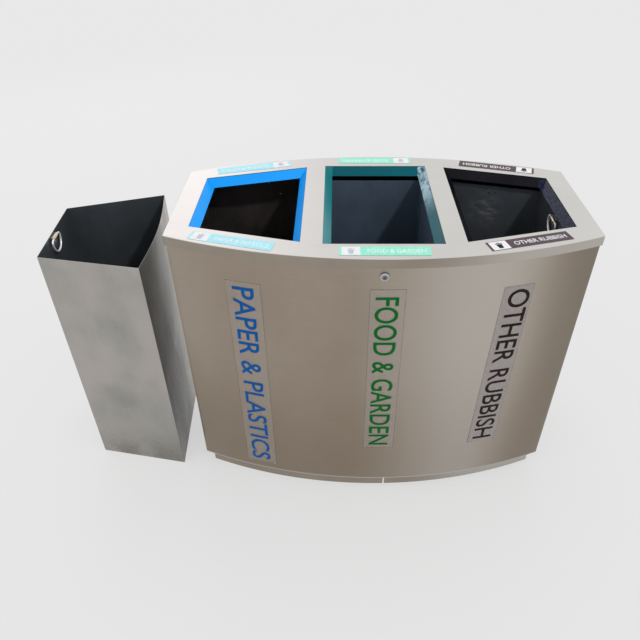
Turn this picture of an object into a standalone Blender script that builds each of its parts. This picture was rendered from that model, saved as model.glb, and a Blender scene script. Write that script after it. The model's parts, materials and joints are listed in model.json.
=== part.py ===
"""Three-compartment recycling bin station in folded stainless sheet.

The station is a lens-shaped cabinet with a lift-up lid, three coloured throwing chutes, and three
steel liners with lifting rings. The left liner has been lifted out and stands beside the cabinet.

Frame: metres, +Z up, front towards -Y. The origin is under the middle of the cabinet, on the floor.
"""

import math

import bmesh
import bpy
from mathutils import Matrix, Vector

# Driving dimensions, in metres.
LID_WIDTH = 1.100
LID_TOP = 0.870
LID_SKIRT = 0.027
LID_SHEET = 0.0015
END_DEPTH = 0.380
ARC_BULGE = 0.110
ARC_STEPS = 28

BODY_INSET = 0.005
BODY_SHEET = 0.0015
BODY_BOTTOM = 0.052
BODY_TOP = 0.864
TOP_FLANGE = 0.008
BOTTOM_FLANGE = 0.014
END_FLANGE = 0.030
BASE_THICKNESS = 0.0015
BASE_UPSTAND = 0.025

PLINTH_INSET = 0.020
PLINTH_SHEET = 0.002
PLINTH_SEAM_X = 0.037
SEAM_STRIP = 0.005
SEAM_STRIP_LOW = 0.008
SEAM_STRIP_HIGH = 0.040
RAIL_HALF_WIDTH = 0.030
RAIL_SHEET = 0.002

GUIDE_HALF_WIDTH = 0.030
GUIDE_HALF_LENGTH = 0.200
GUIDE_HEIGHT = 0.040
GUIDE_SHEET = 0.0015
BUFFER_X = 0.400
BUFFER_RADIUS = 0.0035

MIDDLE_HALF_WIDTH = 0.150
MIDDLE_HALF_DEPTH = 0.230
SIDE_INNER_X = 0.205
SIDE_INNER_HALF_DEPTH = 0.221
SIDE_OUTER_X = 0.493
SIDE_OUTER_HALF_DEPTH = 0.144
CHUTE_REACH = 0.021
CHUTE_FLANGE = 0.014
CHUTE_SHEET = 0.0012

LINER_HEIGHT = 0.775
LINER_SHEET = 0.0012
LINER_MIDDLE_HALF_WIDTH = 0.140
LINER_MIDDLE_HALF_DEPTH = 0.215
LINER_INNER_X = 0.2075
LINER_INNER_HALF_DEPTH = 0.212
LINER_OUTER_X = 0.4885
LINER_OUTER_HALF_DEPTH = 0.140
LINER_BOW = 0.016
LIFTED_LINER_MOVE = (-0.4330, 0.0320)
LIFTED_LINER_TURN = math.radians(3.8)

RING_WIRE = 0.0030
RING_HALF_LENGTH = 0.031
RING_DROP = 0.042
RING_CORNER = 0.009
RING_BELOW_RIM = 0.011
RING_STAND_OFF = 0.0075
RING_WALL_Y = -0.012
BRACKET_LENGTH = 0.036
BRACKET_CURL = 0.0052
BRACKET_PLATE = 0.0016
BRACKET_DROP = 0.020
RIVET_ALONG = 0.012
RIVET_DROP = 0.0145
RIVET_HOLE = 0.0020

HINGE_X = 0.310
HINGE_Y = 0.308
HINGE_Z = 0.843
HINGE_BARREL = 0.0065
HINGE_PIN = 0.0030
HINGE_HALF_WIDTH = 0.022
HINGE_MIDDLE_HALF = 0.009

LOCK_Z = 0.817
BARREL_RADIUS = 0.0095
BEZEL_RADIUS = 0.0120
PLUG_RADIUS = 0.0060
CAM_LENGTH = 0.032
CAM_HALF_WIDTH = 0.008
CAM_THICKNESS = 0.0025
NUT_RADIUS = 0.0138
NUT_HEIGHT = 0.004
KEY_SLOT_HALF_WIDTH = 0.0009
KEY_SLOT_HALF_HEIGHT = 0.0038
CATCH_X = 0.025
CATCH_HALF_WIDTH = 0.010
CATCH_FRONT_Y = -0.2815
CATCH_FOOT_Z = 0.8025
CATCH_FOOT_REACH = 0.0135
CATCH_HEAD_REACH = 0.020
CATCH_SHEET = 0.002

FILM = 0.0003
GAP = 0.0003
CURVED_GAP = 0.0004
CUT_PAST = 0.010

LID_RADIUS = ((LID_WIDTH / 2) ** 2 + ARC_BULGE ** 2) / (2 * ARC_BULGE)
ARC_CENTRE = LID_RADIUS - END_DEPTH / 2 - ARC_BULGE
BODY_RADIUS = LID_RADIUS - BODY_INSET
BODY_HALF_WIDTH = LID_WIDTH / 2 - BODY_INSET
LID_UNDERSIDE = LID_TOP - LID_SHEET
SKIRT_BOTTOM = LID_TOP - LID_SKIRT
BASE_BOTTOM = BODY_BOTTOM + BODY_SHEET + GAP
BASE_TOP = BASE_BOTTOM + BASE_THICKNESS
LINER_FLOOR = BASE_TOP + GAP
CHUTE_TOP = LID_UNDERSIDE - GAP
FRONT_Y = ARC_CENTRE - BODY_RADIUS

STAINLESS = ((0.60, 0.57, 0.53), 0.35, 1.0)
LID_STAINLESS = ((0.74, 0.73, 0.71), 0.35, 1.0)
MILL_STEEL = ((0.42, 0.43, 0.43), 0.45, 1.0)
ZINC = ((0.62, 0.60, 0.52), 0.35, 1.0)
BRIGHT_WIRE = ((0.80, 0.80, 0.80), 0.15, 1.0)
BLACK_RUBBER = ((0.02, 0.02, 0.02), 0.80, 0.0)
CHROME = ((0.85, 0.85, 0.86), 0.08, 1.0)
BLUE_PAINT = ((0.01, 0.33, 0.93), 0.25, 0.0)
GREEN_PAINT = ((0.0, 0.16, 0.18), 0.25, 0.0)
BLACK_PAINT = ((0.015, 0.015, 0.020), 0.18, 0.0)
BLUE_LABEL = ((0.33, 0.83, 0.95), 0.40, 0.0)
GREEN_LABEL = ((0.38, 0.92, 0.75), 0.40, 0.0)
GREY_LABEL = ((0.16, 0.12, 0.14), 0.40, 0.0)
CLEAR_FILM = ((0.55, 0.52, 0.48), 0.30, 0.0)


# ---------------------------------------------------------------- scene and object helpers

def clear_scene():
    for obj in list(bpy.data.objects):
        bpy.data.objects.remove(obj, do_unlink=True)


def new_collection(name, for_cutters=False):
    made = bpy.data.collections.new(name)
    bpy.context.scene.collection.children.link(made)
    made.hide_render = for_cutters
    return made


def new_material(name, look):
    colour, roughness, metallic = look
    made = bpy.data.materials.new(name)
    made.use_nodes = True
    shader = made.node_tree.nodes["Principled BSDF"]
    shader.inputs["Base Color"].default_value = (*colour, 1.0)
    shader.inputs["Roughness"].default_value = roughness
    shader.inputs["Metallic"].default_value = metallic
    return made


clear_scene()
STATION = new_collection("recycling_bin_station")
CUTTERS = new_collection("cutters", for_cutters=True)


def add_part(name, mesh, look):
    """A visible sub-part with its own material."""
    made = bpy.data.objects.new(name, mesh)
    STATION.objects.link(made)
    mesh.materials.clear()
    mesh.materials.append(new_material(name, look))
    return made


def add_cutter(name, mesh):
    """A hidden shape that other parts cut with, or are joined from."""
    made = bpy.data.objects.new(name, mesh)
    CUTTERS.objects.link(made)
    made.hide_render = True
    made.display_type = "WIRE"
    return made


def mesh_from(name, shape, smooth_angle=None):
    """Turns a finished bmesh into a mesh whose faces point out."""
    bmesh.ops.recalc_face_normals(shape, faces=shape.faces)
    mesh = bpy.data.meshes.new(name)
    shape.to_mesh(mesh)
    shape.free()
    if smooth_angle:
        mesh.shade_smooth()
        mesh.set_sharp_from_angle(angle=math.radians(smooth_angle))
    return mesh


def combine(target, other, operation):
    """Adds a Boolean modifier that joins or cuts the target with another object."""
    step = target.modifiers.new(other.name, "BOOLEAN")
    step.operation = operation
    step.solver = "EXACT"
    step.object = other


def solidify(target, thickness, offset=-1.0):
    step = target.modifiers.new("sheet", "SOLIDIFY")
    step.thickness = thickness
    step.offset = offset
    step.use_even_offset = True


# ---------------------------------------------------------------- meshes

def prism(name, outline, low, high):
    """A flat outline in XY, extruded from low to high along Z."""
    shape = bmesh.new()
    base = shape.faces.new([shape.verts.new((x, y, low)) for x, y in outline])
    grown = bmesh.ops.extrude_face_region(shape, geom=[base])
    moved = [item for item in grown["geom"] if isinstance(item, bmesh.types.BMVert)]
    bmesh.ops.translate(shape, verts=moved, vec=(0, 0, high - low))
    return mesh_from(name, shape)


def side_prism(name, outline, low, high):
    """A flat outline in YZ, extruded from low to high along X."""
    shape = bmesh.new()
    base = shape.faces.new([shape.verts.new((low, y, z)) for y, z in outline])
    grown = bmesh.ops.extrude_face_region(shape, geom=[base])
    moved = [item for item in grown["geom"] if isinstance(item, bmesh.types.BMVert)]
    bmesh.ops.translate(shape, verts=moved, vec=(high - low, 0, 0))
    return mesh_from(name, shape)


def box(name, low, high):
    shape = bmesh.new()
    bmesh.ops.create_cube(shape, size=1.0)
    size = [b - a for a, b in zip(low, high)]
    middle = [(a + b) / 2 for a, b in zip(low, high)]
    bmesh.ops.scale(shape, verts=shape.verts, vec=size)
    bmesh.ops.translate(shape, verts=shape.verts, vec=middle)
    return mesh_from(name, shape)


def rod(name, start, end, radius, sides=24):
    """A straight cylinder between two points."""
    start = Vector(start)
    end = Vector(end)
    way = end - start
    shape = bmesh.new()
    bmesh.ops.create_cone(
        shape, cap_ends=True, segments=sides, depth=way.length, radius1=radius, radius2=radius)
    turn = way.to_track_quat("Z", "Y").to_matrix().to_4x4()
    bmesh.ops.transform(shape, matrix=Matrix.Translation((start + end) / 2) @ turn, verts=shape.verts)
    return mesh_from(name, shape, smooth_angle=40)


def half_depth(x, radius):
    """Distance from the X axis to the curved front or back of a lens of this radius."""
    return math.sqrt(radius * radius - x * x) - ARC_CENTRE


def lens(inset, ends_inset=None):
    """Outline of the station, moved in by the inset: front arc, straight end, back arc, end."""
    radius = LID_RADIUS - inset
    half_width = LID_WIDTH / 2 - (inset if ends_inset is None else ends_inset)
    reach = math.asin(half_width / radius)
    turns = [reach * (2 * step / ARC_STEPS - 1) for step in range(ARC_STEPS + 1)]
    front = [(radius * math.sin(t), -(radius * math.cos(t) - ARC_CENTRE)) for t in turns]
    back = [(-x, -y) for x, y in front]
    return front + back


def inset_outline(points, distance):
    """A convex counter-clockwise outline with every side moved in by the distance."""
    lines = []
    for index, point in enumerate(points):
        following = points[(index + 1) % len(points)]
        way = (Vector(following) - Vector(point)).normalized()
        inward = Vector((-way.y, way.x))
        lines.append((Vector(point) + inward * distance, way))
    corners = []
    for index, (start, way) in enumerate(lines):
        before, way_before = lines[index - 1]
        across = way_before.cross(way)
        along = (start - before).cross(way) / across
        corners.append(tuple(before + way_before * along))
    return corners


def loft(name, rings, cap_bottom=False):
    """An open surface through closed rings of (x, y, z) points, the first ring at the bottom."""
    shape = bmesh.new()
    rows = [[shape.verts.new(point) for point in ring] for ring in rings]
    for lower, upper in zip(rows, rows[1:]):
        for index in range(len(lower)):
            after = (index + 1) % len(lower)
            shape.faces.new((lower[index], lower[after], upper[after], upper[index]))
    if cap_bottom:
        shape.faces.new(list(reversed(rows[0])))
    mesh = bpy.data.meshes.new(name)
    shape.to_mesh(mesh)
    shape.free()
    return mesh


def upright_sheet(name, points, low, high):
    """An open upright surface along a line of (x, y) points, outer side to the right of the line."""
    shape = bmesh.new()
    lower = [shape.verts.new((x, y, low)) for x, y in points]
    upper = [shape.verts.new((x, y, high)) for x, y in points]
    for index in range(len(points) - 1):
        shape.faces.new((lower[index], lower[index + 1], upper[index + 1], upper[index]))
    mesh = bpy.data.meshes.new(name)
    shape.to_mesh(mesh)
    shape.free()
    return mesh


def swept_profile(name, look, profile, from_x, to_x, radius, side, thickness):
    """A sheet profile of (radius, z) points swept along the front (side -1) or back (side 1) arc.

    The profile runs from top to bottom down its outer side, and the sheet grows inwards.
    """
    start = math.asin(from_x / radius)
    end = math.asin(to_x / radius)
    shape = bmesh.new()
    verts = [shape.verts.new((reach, 0, z)) for reach, z in profile]
    for one, two in zip(verts, verts[1:]):
        shape.edges.new((one, two))
    mesh = bpy.data.meshes.new(name)
    shape.to_mesh(mesh)
    shape.free()
    made = add_part(name, mesh, look)
    made.location = (0, -side * ARC_CENTRE, 0)
    middle = -math.pi / 2 if side < 0 else math.pi / 2
    made.rotation_euler = (0, 0, middle + (start if side < 0 else -end))
    turn = made.modifiers.new("arc", "SCREW")
    turn.angle = end - start
    turn.steps = max(4, round(ARC_STEPS * (end - start) / 0.785))
    turn.render_steps = turn.steps
    turn.use_merge_vertices = False
    solidify(made, thickness)
    return made


# ---------------------------------------------------------------- cabinet

def front_and_back_panels():
    """Each panel is one curved sheet, folded inwards along its top and bottom edges."""
    top = (BODY_RADIUS - TOP_FLANGE, BODY_TOP)
    bottom = (BODY_RADIUS - BOTTOM_FLANGE, BODY_BOTTOM)
    profile = [top, (BODY_RADIUS, BODY_TOP), (BODY_RADIUS, BODY_BOTTOM), bottom]
    panels = {}
    for name, side in (("front_panel", -1), ("back_panel", 1)):
        panels[name] = swept_profile(
            name, STAINLESS, profile, -BODY_HALF_WIDTH, BODY_HALF_WIDTH, BODY_RADIUS, side,
            BODY_SHEET)
    return panels


def end_panels():
    """Each flat end is folded at both corners, and its flanges lap inside the curved panels."""
    radius = BODY_RADIUS - BODY_SHEET - CURVED_GAP
    corner = half_depth(BODY_HALF_WIDTH, radius)
    flange_x = BODY_HALF_WIDTH - END_FLANGE
    flange = half_depth(flange_x, radius)
    line = [(flange_x, -flange), (BODY_HALF_WIDTH, -corner), (BODY_HALF_WIDTH, corner),
            (flange_x, flange)]
    low = BODY_BOTTOM + BODY_SHEET + GAP
    high = BODY_TOP - BODY_SHEET - GAP
    right = add_part("right_end_panel", upright_sheet("right_end_panel", line, low, high), STAINLESS)
    solidify(right, BODY_SHEET)
    mirrored = [(-x, y) for x, y in reversed(line)]
    left = add_part("left_end_panel", upright_sheet("left_end_panel", mirrored, low, high), STAINLESS)
    solidify(left, BODY_SHEET)


def base_pan():
    """The floor of the cabinet, with an upstand all round. The liners stand on it."""
    inset = BODY_INSET + 2 * BODY_SHEET + 3 * CURVED_GAP
    outline = lens(inset)
    low = [(x, y, BASE_BOTTOM) for x, y in outline]
    high = [(x, y, BASE_TOP + BASE_UPSTAND) for x, y in outline]
    pan = add_part("base_pan", loft("base_pan", [low, high], cap_bottom=True), MILL_STEEL)
    solidify(pan, BASE_THICKNESS)


def plinth():
    """The recessed foot: two front lengths, a back length, two ends and a cross rail."""
    inset = BODY_INSET + PLINTH_INSET
    radius = LID_RADIUS - inset
    half_width = LID_WIDTH / 2 - inset
    high = BODY_BOTTOM - GAP
    profile = [(radius, high), (radius, 0.0)]
    seam = SEAM_STRIP / 2 + GAP
    pieces = (("plinth_front_left", -half_width, PLINTH_SEAM_X - seam, -1),
              ("plinth_front_right", PLINTH_SEAM_X + seam, half_width, -1),
              ("plinth_back", -half_width, half_width, 1))
    for name, from_x, to_x, side in pieces:
        swept_profile(name, STAINLESS, profile, from_x, to_x, radius, side, PLINTH_SHEET)

    seam_y = -half_depth(PLINTH_SEAM_X, radius)
    proud = 0.0012
    strip_low = (PLINTH_SEAM_X - SEAM_STRIP / 2, seam_y - proud, SEAM_STRIP_LOW)
    strip_high = (PLINTH_SEAM_X + SEAM_STRIP / 2, seam_y + PLINTH_SHEET, SEAM_STRIP_HIGH)
    add_part("plinth_joint_strip", box("plinth_joint_strip", strip_low, strip_high), BRIGHT_WIRE)

    end_inner = half_width - PLINTH_SHEET
    end_reach = half_depth(half_width, radius) - PLINTH_SHEET - CURVED_GAP
    for name, side in (("plinth_left_end", -1), ("plinth_right_end", 1)):
        low = (min(side * end_inner, side * half_width), -end_reach, 0.0)
        top = (max(side * end_inner, side * half_width), end_reach, high)
        add_part(name, box(name, low, top), STAINLESS)

    rail_reach = half_depth(RAIL_HALF_WIDTH, radius) - PLINTH_SHEET - 2 * CURVED_GAP
    name = "plinth_cross_rail"
    rail = add_part(
        name, box(name, (-RAIL_HALF_WIDTH, -rail_reach, 0), (RAIL_HALF_WIDTH, rail_reach, high)),
        MILL_STEEL)
    hollow_half = RAIL_HALF_WIDTH - RAIL_SHEET
    hollow = box("rail_hollow", (-hollow_half, -rail_reach - CUT_PAST, RAIL_SHEET),
                 (hollow_half, rail_reach + CUT_PAST, high + CUT_PAST))
    combine(rail, add_cutter("rail_hollow", hollow), "DIFFERENCE")


def liner_guides():
    """Two top-hat rails on the base pan that keep each liner under its own chute."""
    middle = (LINER_MIDDLE_HALF_WIDTH + LINER_INNER_X) / 2
    low = BASE_TOP + GAP
    high = low + GUIDE_HEIGHT
    hollow_half = GUIDE_HALF_WIDTH - GUIDE_SHEET
    for name, side in (("liner_guide_left", -1), ("liner_guide_right", 1)):
        guide = add_part(
            name, box(name, (-GUIDE_HALF_WIDTH, -GUIDE_HALF_LENGTH, low),
                      (GUIDE_HALF_WIDTH, GUIDE_HALF_LENGTH, high)), MILL_STEEL)
        guide.location.x = side * middle
        hollow = box(name + "_hollow", (-hollow_half, -GUIDE_HALF_LENGTH - CUT_PAST, low - CUT_PAST),
                     (hollow_half, GUIDE_HALF_LENGTH + CUT_PAST, high - GUIDE_SHEET))
        cutter = add_cutter(name + "_hollow", hollow)
        cutter.location.x = guide.location.x
        combine(guide, cutter, "DIFFERENCE")


def lid_buffers():
    """Four rubber buttons on the cabinet's top flange that the closed lid rests on."""
    radius = BODY_RADIUS - TOP_FLANGE / 2 - BODY_SHEET / 2
    low = BODY_TOP + GAP
    high = LID_UNDERSIDE - GAP
    for x, end in ((-BUFFER_X, "left"), (BUFFER_X, "right")):
        for side, place in ((-1, "front"), (1, "back")):
            name = "lid_buffer_%s_%s" % (place, end)
            y = side * half_depth(x, radius)
            add_part(name, rod(name, (x, y, low), (x, y, high), BUFFER_RADIUS, sides=16), BLACK_RUBBER)


# ---------------------------------------------------------------- lid and chutes

def chute_outlines():
    """The three openings in the lid, counter-clockwise from above."""
    middle = [(-MIDDLE_HALF_WIDTH, -MIDDLE_HALF_DEPTH), (MIDDLE_HALF_WIDTH, -MIDDLE_HALF_DEPTH),
              (MIDDLE_HALF_WIDTH, MIDDLE_HALF_DEPTH), (-MIDDLE_HALF_WIDTH, MIDDLE_HALF_DEPTH)]
    right = [(SIDE_INNER_X, -SIDE_INNER_HALF_DEPTH), (SIDE_OUTER_X, -SIDE_OUTER_HALF_DEPTH),
             (SIDE_OUTER_X, SIDE_OUTER_HALF_DEPTH), (SIDE_INNER_X, SIDE_INNER_HALF_DEPTH)]
    left = [(-x, y) for x, y in reversed(right)]
    return {"left": left, "middle": middle, "right": right}


def lid_shell(outlines):
    """The lid is one folded sheet: a flat top with three openings and a skirt all round."""
    lid = add_part("lid_shell", prism("lid_shell", lens(0.0), SKIRT_BOTTOM, LID_TOP), LID_STAINLESS)
    inside = prism("lid_inside", lens(LID_SHEET), SKIRT_BOTTOM - CUT_PAST, LID_UNDERSIDE)
    combine(lid, add_cutter("lid_inside", inside), "DIFFERENCE")
    for side, outline in outlines.items():
        name = "lid_opening_" + side
        opening = add_cutter(name, prism(name, outline, LID_UNDERSIDE - CUT_PAST, LID_TOP + CUT_PAST))
        combine(lid, opening, "DIFFERENCE")
    return lid


def chutes(outlines):
    """Painted frames under the openings: a flange against the lid, then four walls sloping in."""
    looks = {"left": BLUE_PAINT, "middle": GREEN_PAINT, "right": BLACK_PAINT}
    for side, outline in outlines.items():
        name = "chute_" + side
        rings = []
        for inset, drop in ((CHUTE_REACH, CHUTE_REACH), (0.0, 0.0), (-CHUTE_FLANGE, 0.0)):
            z = CHUTE_TOP - drop
            rings.append([(x, y, z) for x, y in inset_outline(outline, inset)])
        chute = add_part(name, loft(name, list(reversed(rings))), looks[side])
        solidify(chute, CHUTE_SHEET)


# ---------------------------------------------------------------- labels and films

def lid_labels():
    """Printed labels before and behind each opening."""
    length = 0.220
    depth = 0.040
    low = LID_TOP + GAP
    slant = math.radians(15.5)
    places = (("label_left_front", -0.3745, -0.2160, -slant, BLUE_LABEL),
              ("label_left_back", -0.3635, 0.2195, slant, BLUE_LABEL),
              ("label_middle_front", 0.0, -0.2635, 0.0, GREEN_LABEL),
              ("label_middle_back", 0.0, 0.2700, 0.0, GREEN_LABEL),
              ("label_right_front", 0.3565, -0.2160, slant, GREY_LABEL),
              ("label_right_back", 0.3635, 0.2215, -slant, GREY_LABEL))
    for name, x, y, turn, look in places:
        label = add_part(
            name, box(name, (-length / 2, -depth / 2, low), (length / 2, depth / 2, low + FILM)), look)
        label.location = (x, y, 0)
        label.rotation_euler = (0, 0, turn)


def front_films():
    """Clear films with the waste names, on the curved front. Places are measured along the arc."""
    films = (("film_left", (-0.404, -0.308), (-0.404, -0.308), 0.772, 0.078),
             ("film_middle", (-0.034, 0.056), (-0.034, 0.056), 0.780, 0.200),
             ("film_right", (0.306, 0.389), (0.287, 0.377), 0.765, 0.190))
    radius = BODY_RADIUS + CURVED_GAP
    steps = 6
    for name, top, bottom, high, low in films:
        shape = bmesh.new()
        rows = []
        for (start, end), z in ((bottom, low), (top, high)):
            row = []
            for step in range(steps + 1):
                turn = (start + (end - start) * step / steps) / BODY_RADIUS
                row.append(shape.verts.new(
                    (radius * math.sin(turn), ARC_CENTRE - radius * math.cos(turn), z)))
            rows.append(row)
        for step in range(steps):
            shape.faces.new((rows[0][step], rows[0][step + 1], rows[1][step + 1], rows[1][step]))
        mesh = bpy.data.meshes.new(name)
        shape.to_mesh(mesh)
        shape.free()
        solidify(add_part(name, mesh, CLEAR_FILM), FILM, offset=1.0)


# ---------------------------------------------------------------- hinges

def fastener(low, high, shank, head, head_height, place):
    """A rivet or bolt as one solid: a shank from low to high along Z, with a head at each end."""
    levels = [(head * 0.7, high + head_height), (head, high), (shank, high), (shank, low),
              (head, low), (head * 0.7, low - head_height)]
    sides = 12
    shape = bmesh.new()
    rows = []
    for reach, height in levels:
        turns = [2 * math.pi * step / sides for step in range(sides)]
        rows.append([shape.verts.new((reach * math.cos(t), reach * math.sin(t), height)) for t in turns])
    for upper, lower in zip(rows, rows[1:]):
        for index in range(sides):
            after = (index + 1) % sides
            shape.faces.new((upper[index], lower[index], lower[after], upper[after]))
    shape.faces.new(rows[0])
    shape.faces.new(list(reversed(rows[-1])))
    bmesh.ops.transform(shape, matrix=place, verts=shape.verts)
    return mesh_from("fastener", shape)


def back_wall_place(x, z, radius):
    """A frame on the back's vertical axis whose Z runs out through the back wall at x."""
    turn = Matrix.Rotation(-math.asin(x / radius), 4, "Z") @ Matrix.Rotation(-math.pi / 2, 4, "X")
    return Matrix.Translation((0, -ARC_CENTRE, z)) @ turn


def radial_hole(name, x, z, radius, hole_radius):
    """A cutter along the wall's normal at the back."""
    turn = math.asin(x / radius)
    way = Vector((math.sin(turn), math.cos(turn), 0))
    centre = Vector((0, -ARC_CENTRE, z))
    return rod(name, centre + way * (radius - 0.02), centre + way * (radius + 0.02), hole_radius, sides=16)


def knuckle_arc(from_degrees, to_degrees):
    """Part of the hinge knuckle's round outline in YZ, counter-clockwise from the +Y side."""
    steps = 8
    points = []
    for step in range(steps + 1):
        turn = math.radians(from_degrees + (to_degrees - from_degrees) * step / steps)
        points.append((HINGE_Y + HINGE_BARREL * math.cos(turn), HINGE_Z + HINGE_BARREL * math.sin(turn)))
    return points


def hinges(back_panel, lid):
    """Two cranked hinges behind the cabinet, on one axis level with the skirt's lower edge."""
    foot = 0.003
    body_face = BODY_RADIUS + CURVED_GAP
    lid_face = LID_RADIUS + CURVED_GAP
    envelope_low = HINGE_Z - 0.1
    envelope_high = LID_TOP + CUT_PAST
    body_solid = prism("body_envelope", lens(BODY_INSET - CURVED_GAP), envelope_low, envelope_high)
    body_envelope = add_cutter("body_envelope", body_solid)
    lid_solid = prism("lid_envelope", lens(-CURVED_GAP), envelope_low, envelope_high)
    lid_envelope = add_cutter("lid_envelope", lid_solid)
    ear = [(0.2705, 0.8285), (0.250, 0.8260), (0.250, 0.8120), (0.2760, 0.8120)] + knuckle_arc(-50, 130)
    strap = [(0.255, 0.8620), (0.255, 0.8455)] + knuckle_arc(-130, 80)
    for side_name, side in (("left", -1), ("right", 1)):
        middle = side * HINGE_X
        outer = middle - HINGE_HALF_WIDTH
        end = middle + HINGE_HALF_WIDTH
        inner_low = middle - HINGE_MIDDLE_HALF
        inner_high = middle + HINGE_MIDDLE_HALF

        bracket = swept_profile(
            "hinge_bracket_" + side_name, STAINLESS,
            [(body_face + foot, 0.826), (body_face + foot, 0.748)], outer, end, body_face, 1, foot)
        name = "pin_bore_" + side_name
        bore = add_cutter(name, rod(
            name, (outer - CUT_PAST, HINGE_Y, HINGE_Z), (end + CUT_PAST, HINGE_Y, HINGE_Z),
            HINGE_PIN + GAP))
        lobes = ((outer, inner_low - 2 * GAP), (inner_high + 2 * GAP, end))
        for number, (low, high) in enumerate(lobes):
            name = "bracket_ear_%s_%d" % (side_name, number)
            plate = add_cutter(name, side_prism(name, ear, low, high))
            combine(plate, body_envelope, "DIFFERENCE")
            combine(plate, bore, "DIFFERENCE")
            combine(bracket, plate, "UNION")

        arm = swept_profile(
            "hinge_arm_" + side_name, STAINLESS,
            [(lid_face + foot, 0.8680), (lid_face + foot, 0.8450)], outer, end, lid_face, 1, foot)
        name = "arm_strap_" + side_name
        plate = add_cutter(name, side_prism(name, strap, inner_low, inner_high))
        combine(plate, lid_envelope, "DIFFERENCE")
        combine(plate, bore, "DIFFERENCE")
        combine(arm, plate, "UNION")

        name = "hinge_pin_" + side_name
        pin = rod(name, (outer - 0.002, HINGE_Y, HINGE_Z), (end + 0.002, HINGE_Y, HINGE_Z), HINGE_PIN)
        add_part(name, pin, BRIGHT_WIRE)

        inside = BODY_RADIUS - BODY_SHEET - CURVED_GAP
        outside = body_face + foot + CURVED_GAP
        for number, (along, z) in enumerate(((0.017, 0.804), (-0.017, 0.762)), start=1):
            x = middle + side * along
            place = back_wall_place(x, z, BODY_RADIUS)
            name = "hinge_bolt_%s_%d" % (side_name, number)
            add_part(name, fastener(inside, outside, 0.0024, 0.0045, 0.0022, place), ZINC)
            hole = add_cutter(name + "_hole", radial_hole(name, x, z, BODY_RADIUS, 0.0028))
            combine(bracket, hole, "DIFFERENCE")
            combine(back_panel, hole, "DIFFERENCE")

        inside = LID_RADIUS - LID_SHEET - CURVED_GAP
        outside = lid_face + foot + CURVED_GAP
        for number, along in enumerate((-0.016, 0.016), start=1):
            x = middle + along
            z = 0.8560
            place = back_wall_place(x, z, LID_RADIUS)
            name = "hinge_rivet_%s_%d" % (side_name, number)
            add_part(name, fastener(inside, outside, 0.0019, 0.0036, 0.0012, place), BRIGHT_WIRE)
            hole = add_cutter(name + "_hole", radial_hole(name, x, z, LID_RADIUS, 0.0023))
            combine(arm, hole, "DIFFERENCE")
            combine(lid, hole, "DIFFERENCE")


# ---------------------------------------------------------------- lock and catch

def turned(name, look, profile, axis_at, cutters=()):
    """A solid turned about an axis along Y, from (radius, y) points that run front to back."""
    shape = bmesh.new()
    verts = [shape.verts.new((reach, 0, -y)) for reach, y in profile]
    closed = profile[0][0] > 0
    for one, two in zip(verts, verts[1:]):
        shape.edges.new((one, two))
    if closed:
        shape.edges.new((verts[-1], verts[0]))
    mesh = bpy.data.meshes.new(name)
    shape.to_mesh(mesh)
    shape.free()
    made = add_part(name, mesh, look)
    made.location = (axis_at[0], 0, axis_at[1])
    made.rotation_euler = (math.pi / 2, 0, 0)
    turn = made.modifiers.new("turn", "SCREW")
    turn.steps = 24
    turn.render_steps = 24
    turn.use_merge_vertices = True
    turn.merge_threshold = 0.00001
    for cutter in cutters:
        combine(made, cutter, "DIFFERENCE")
    return made


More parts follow.
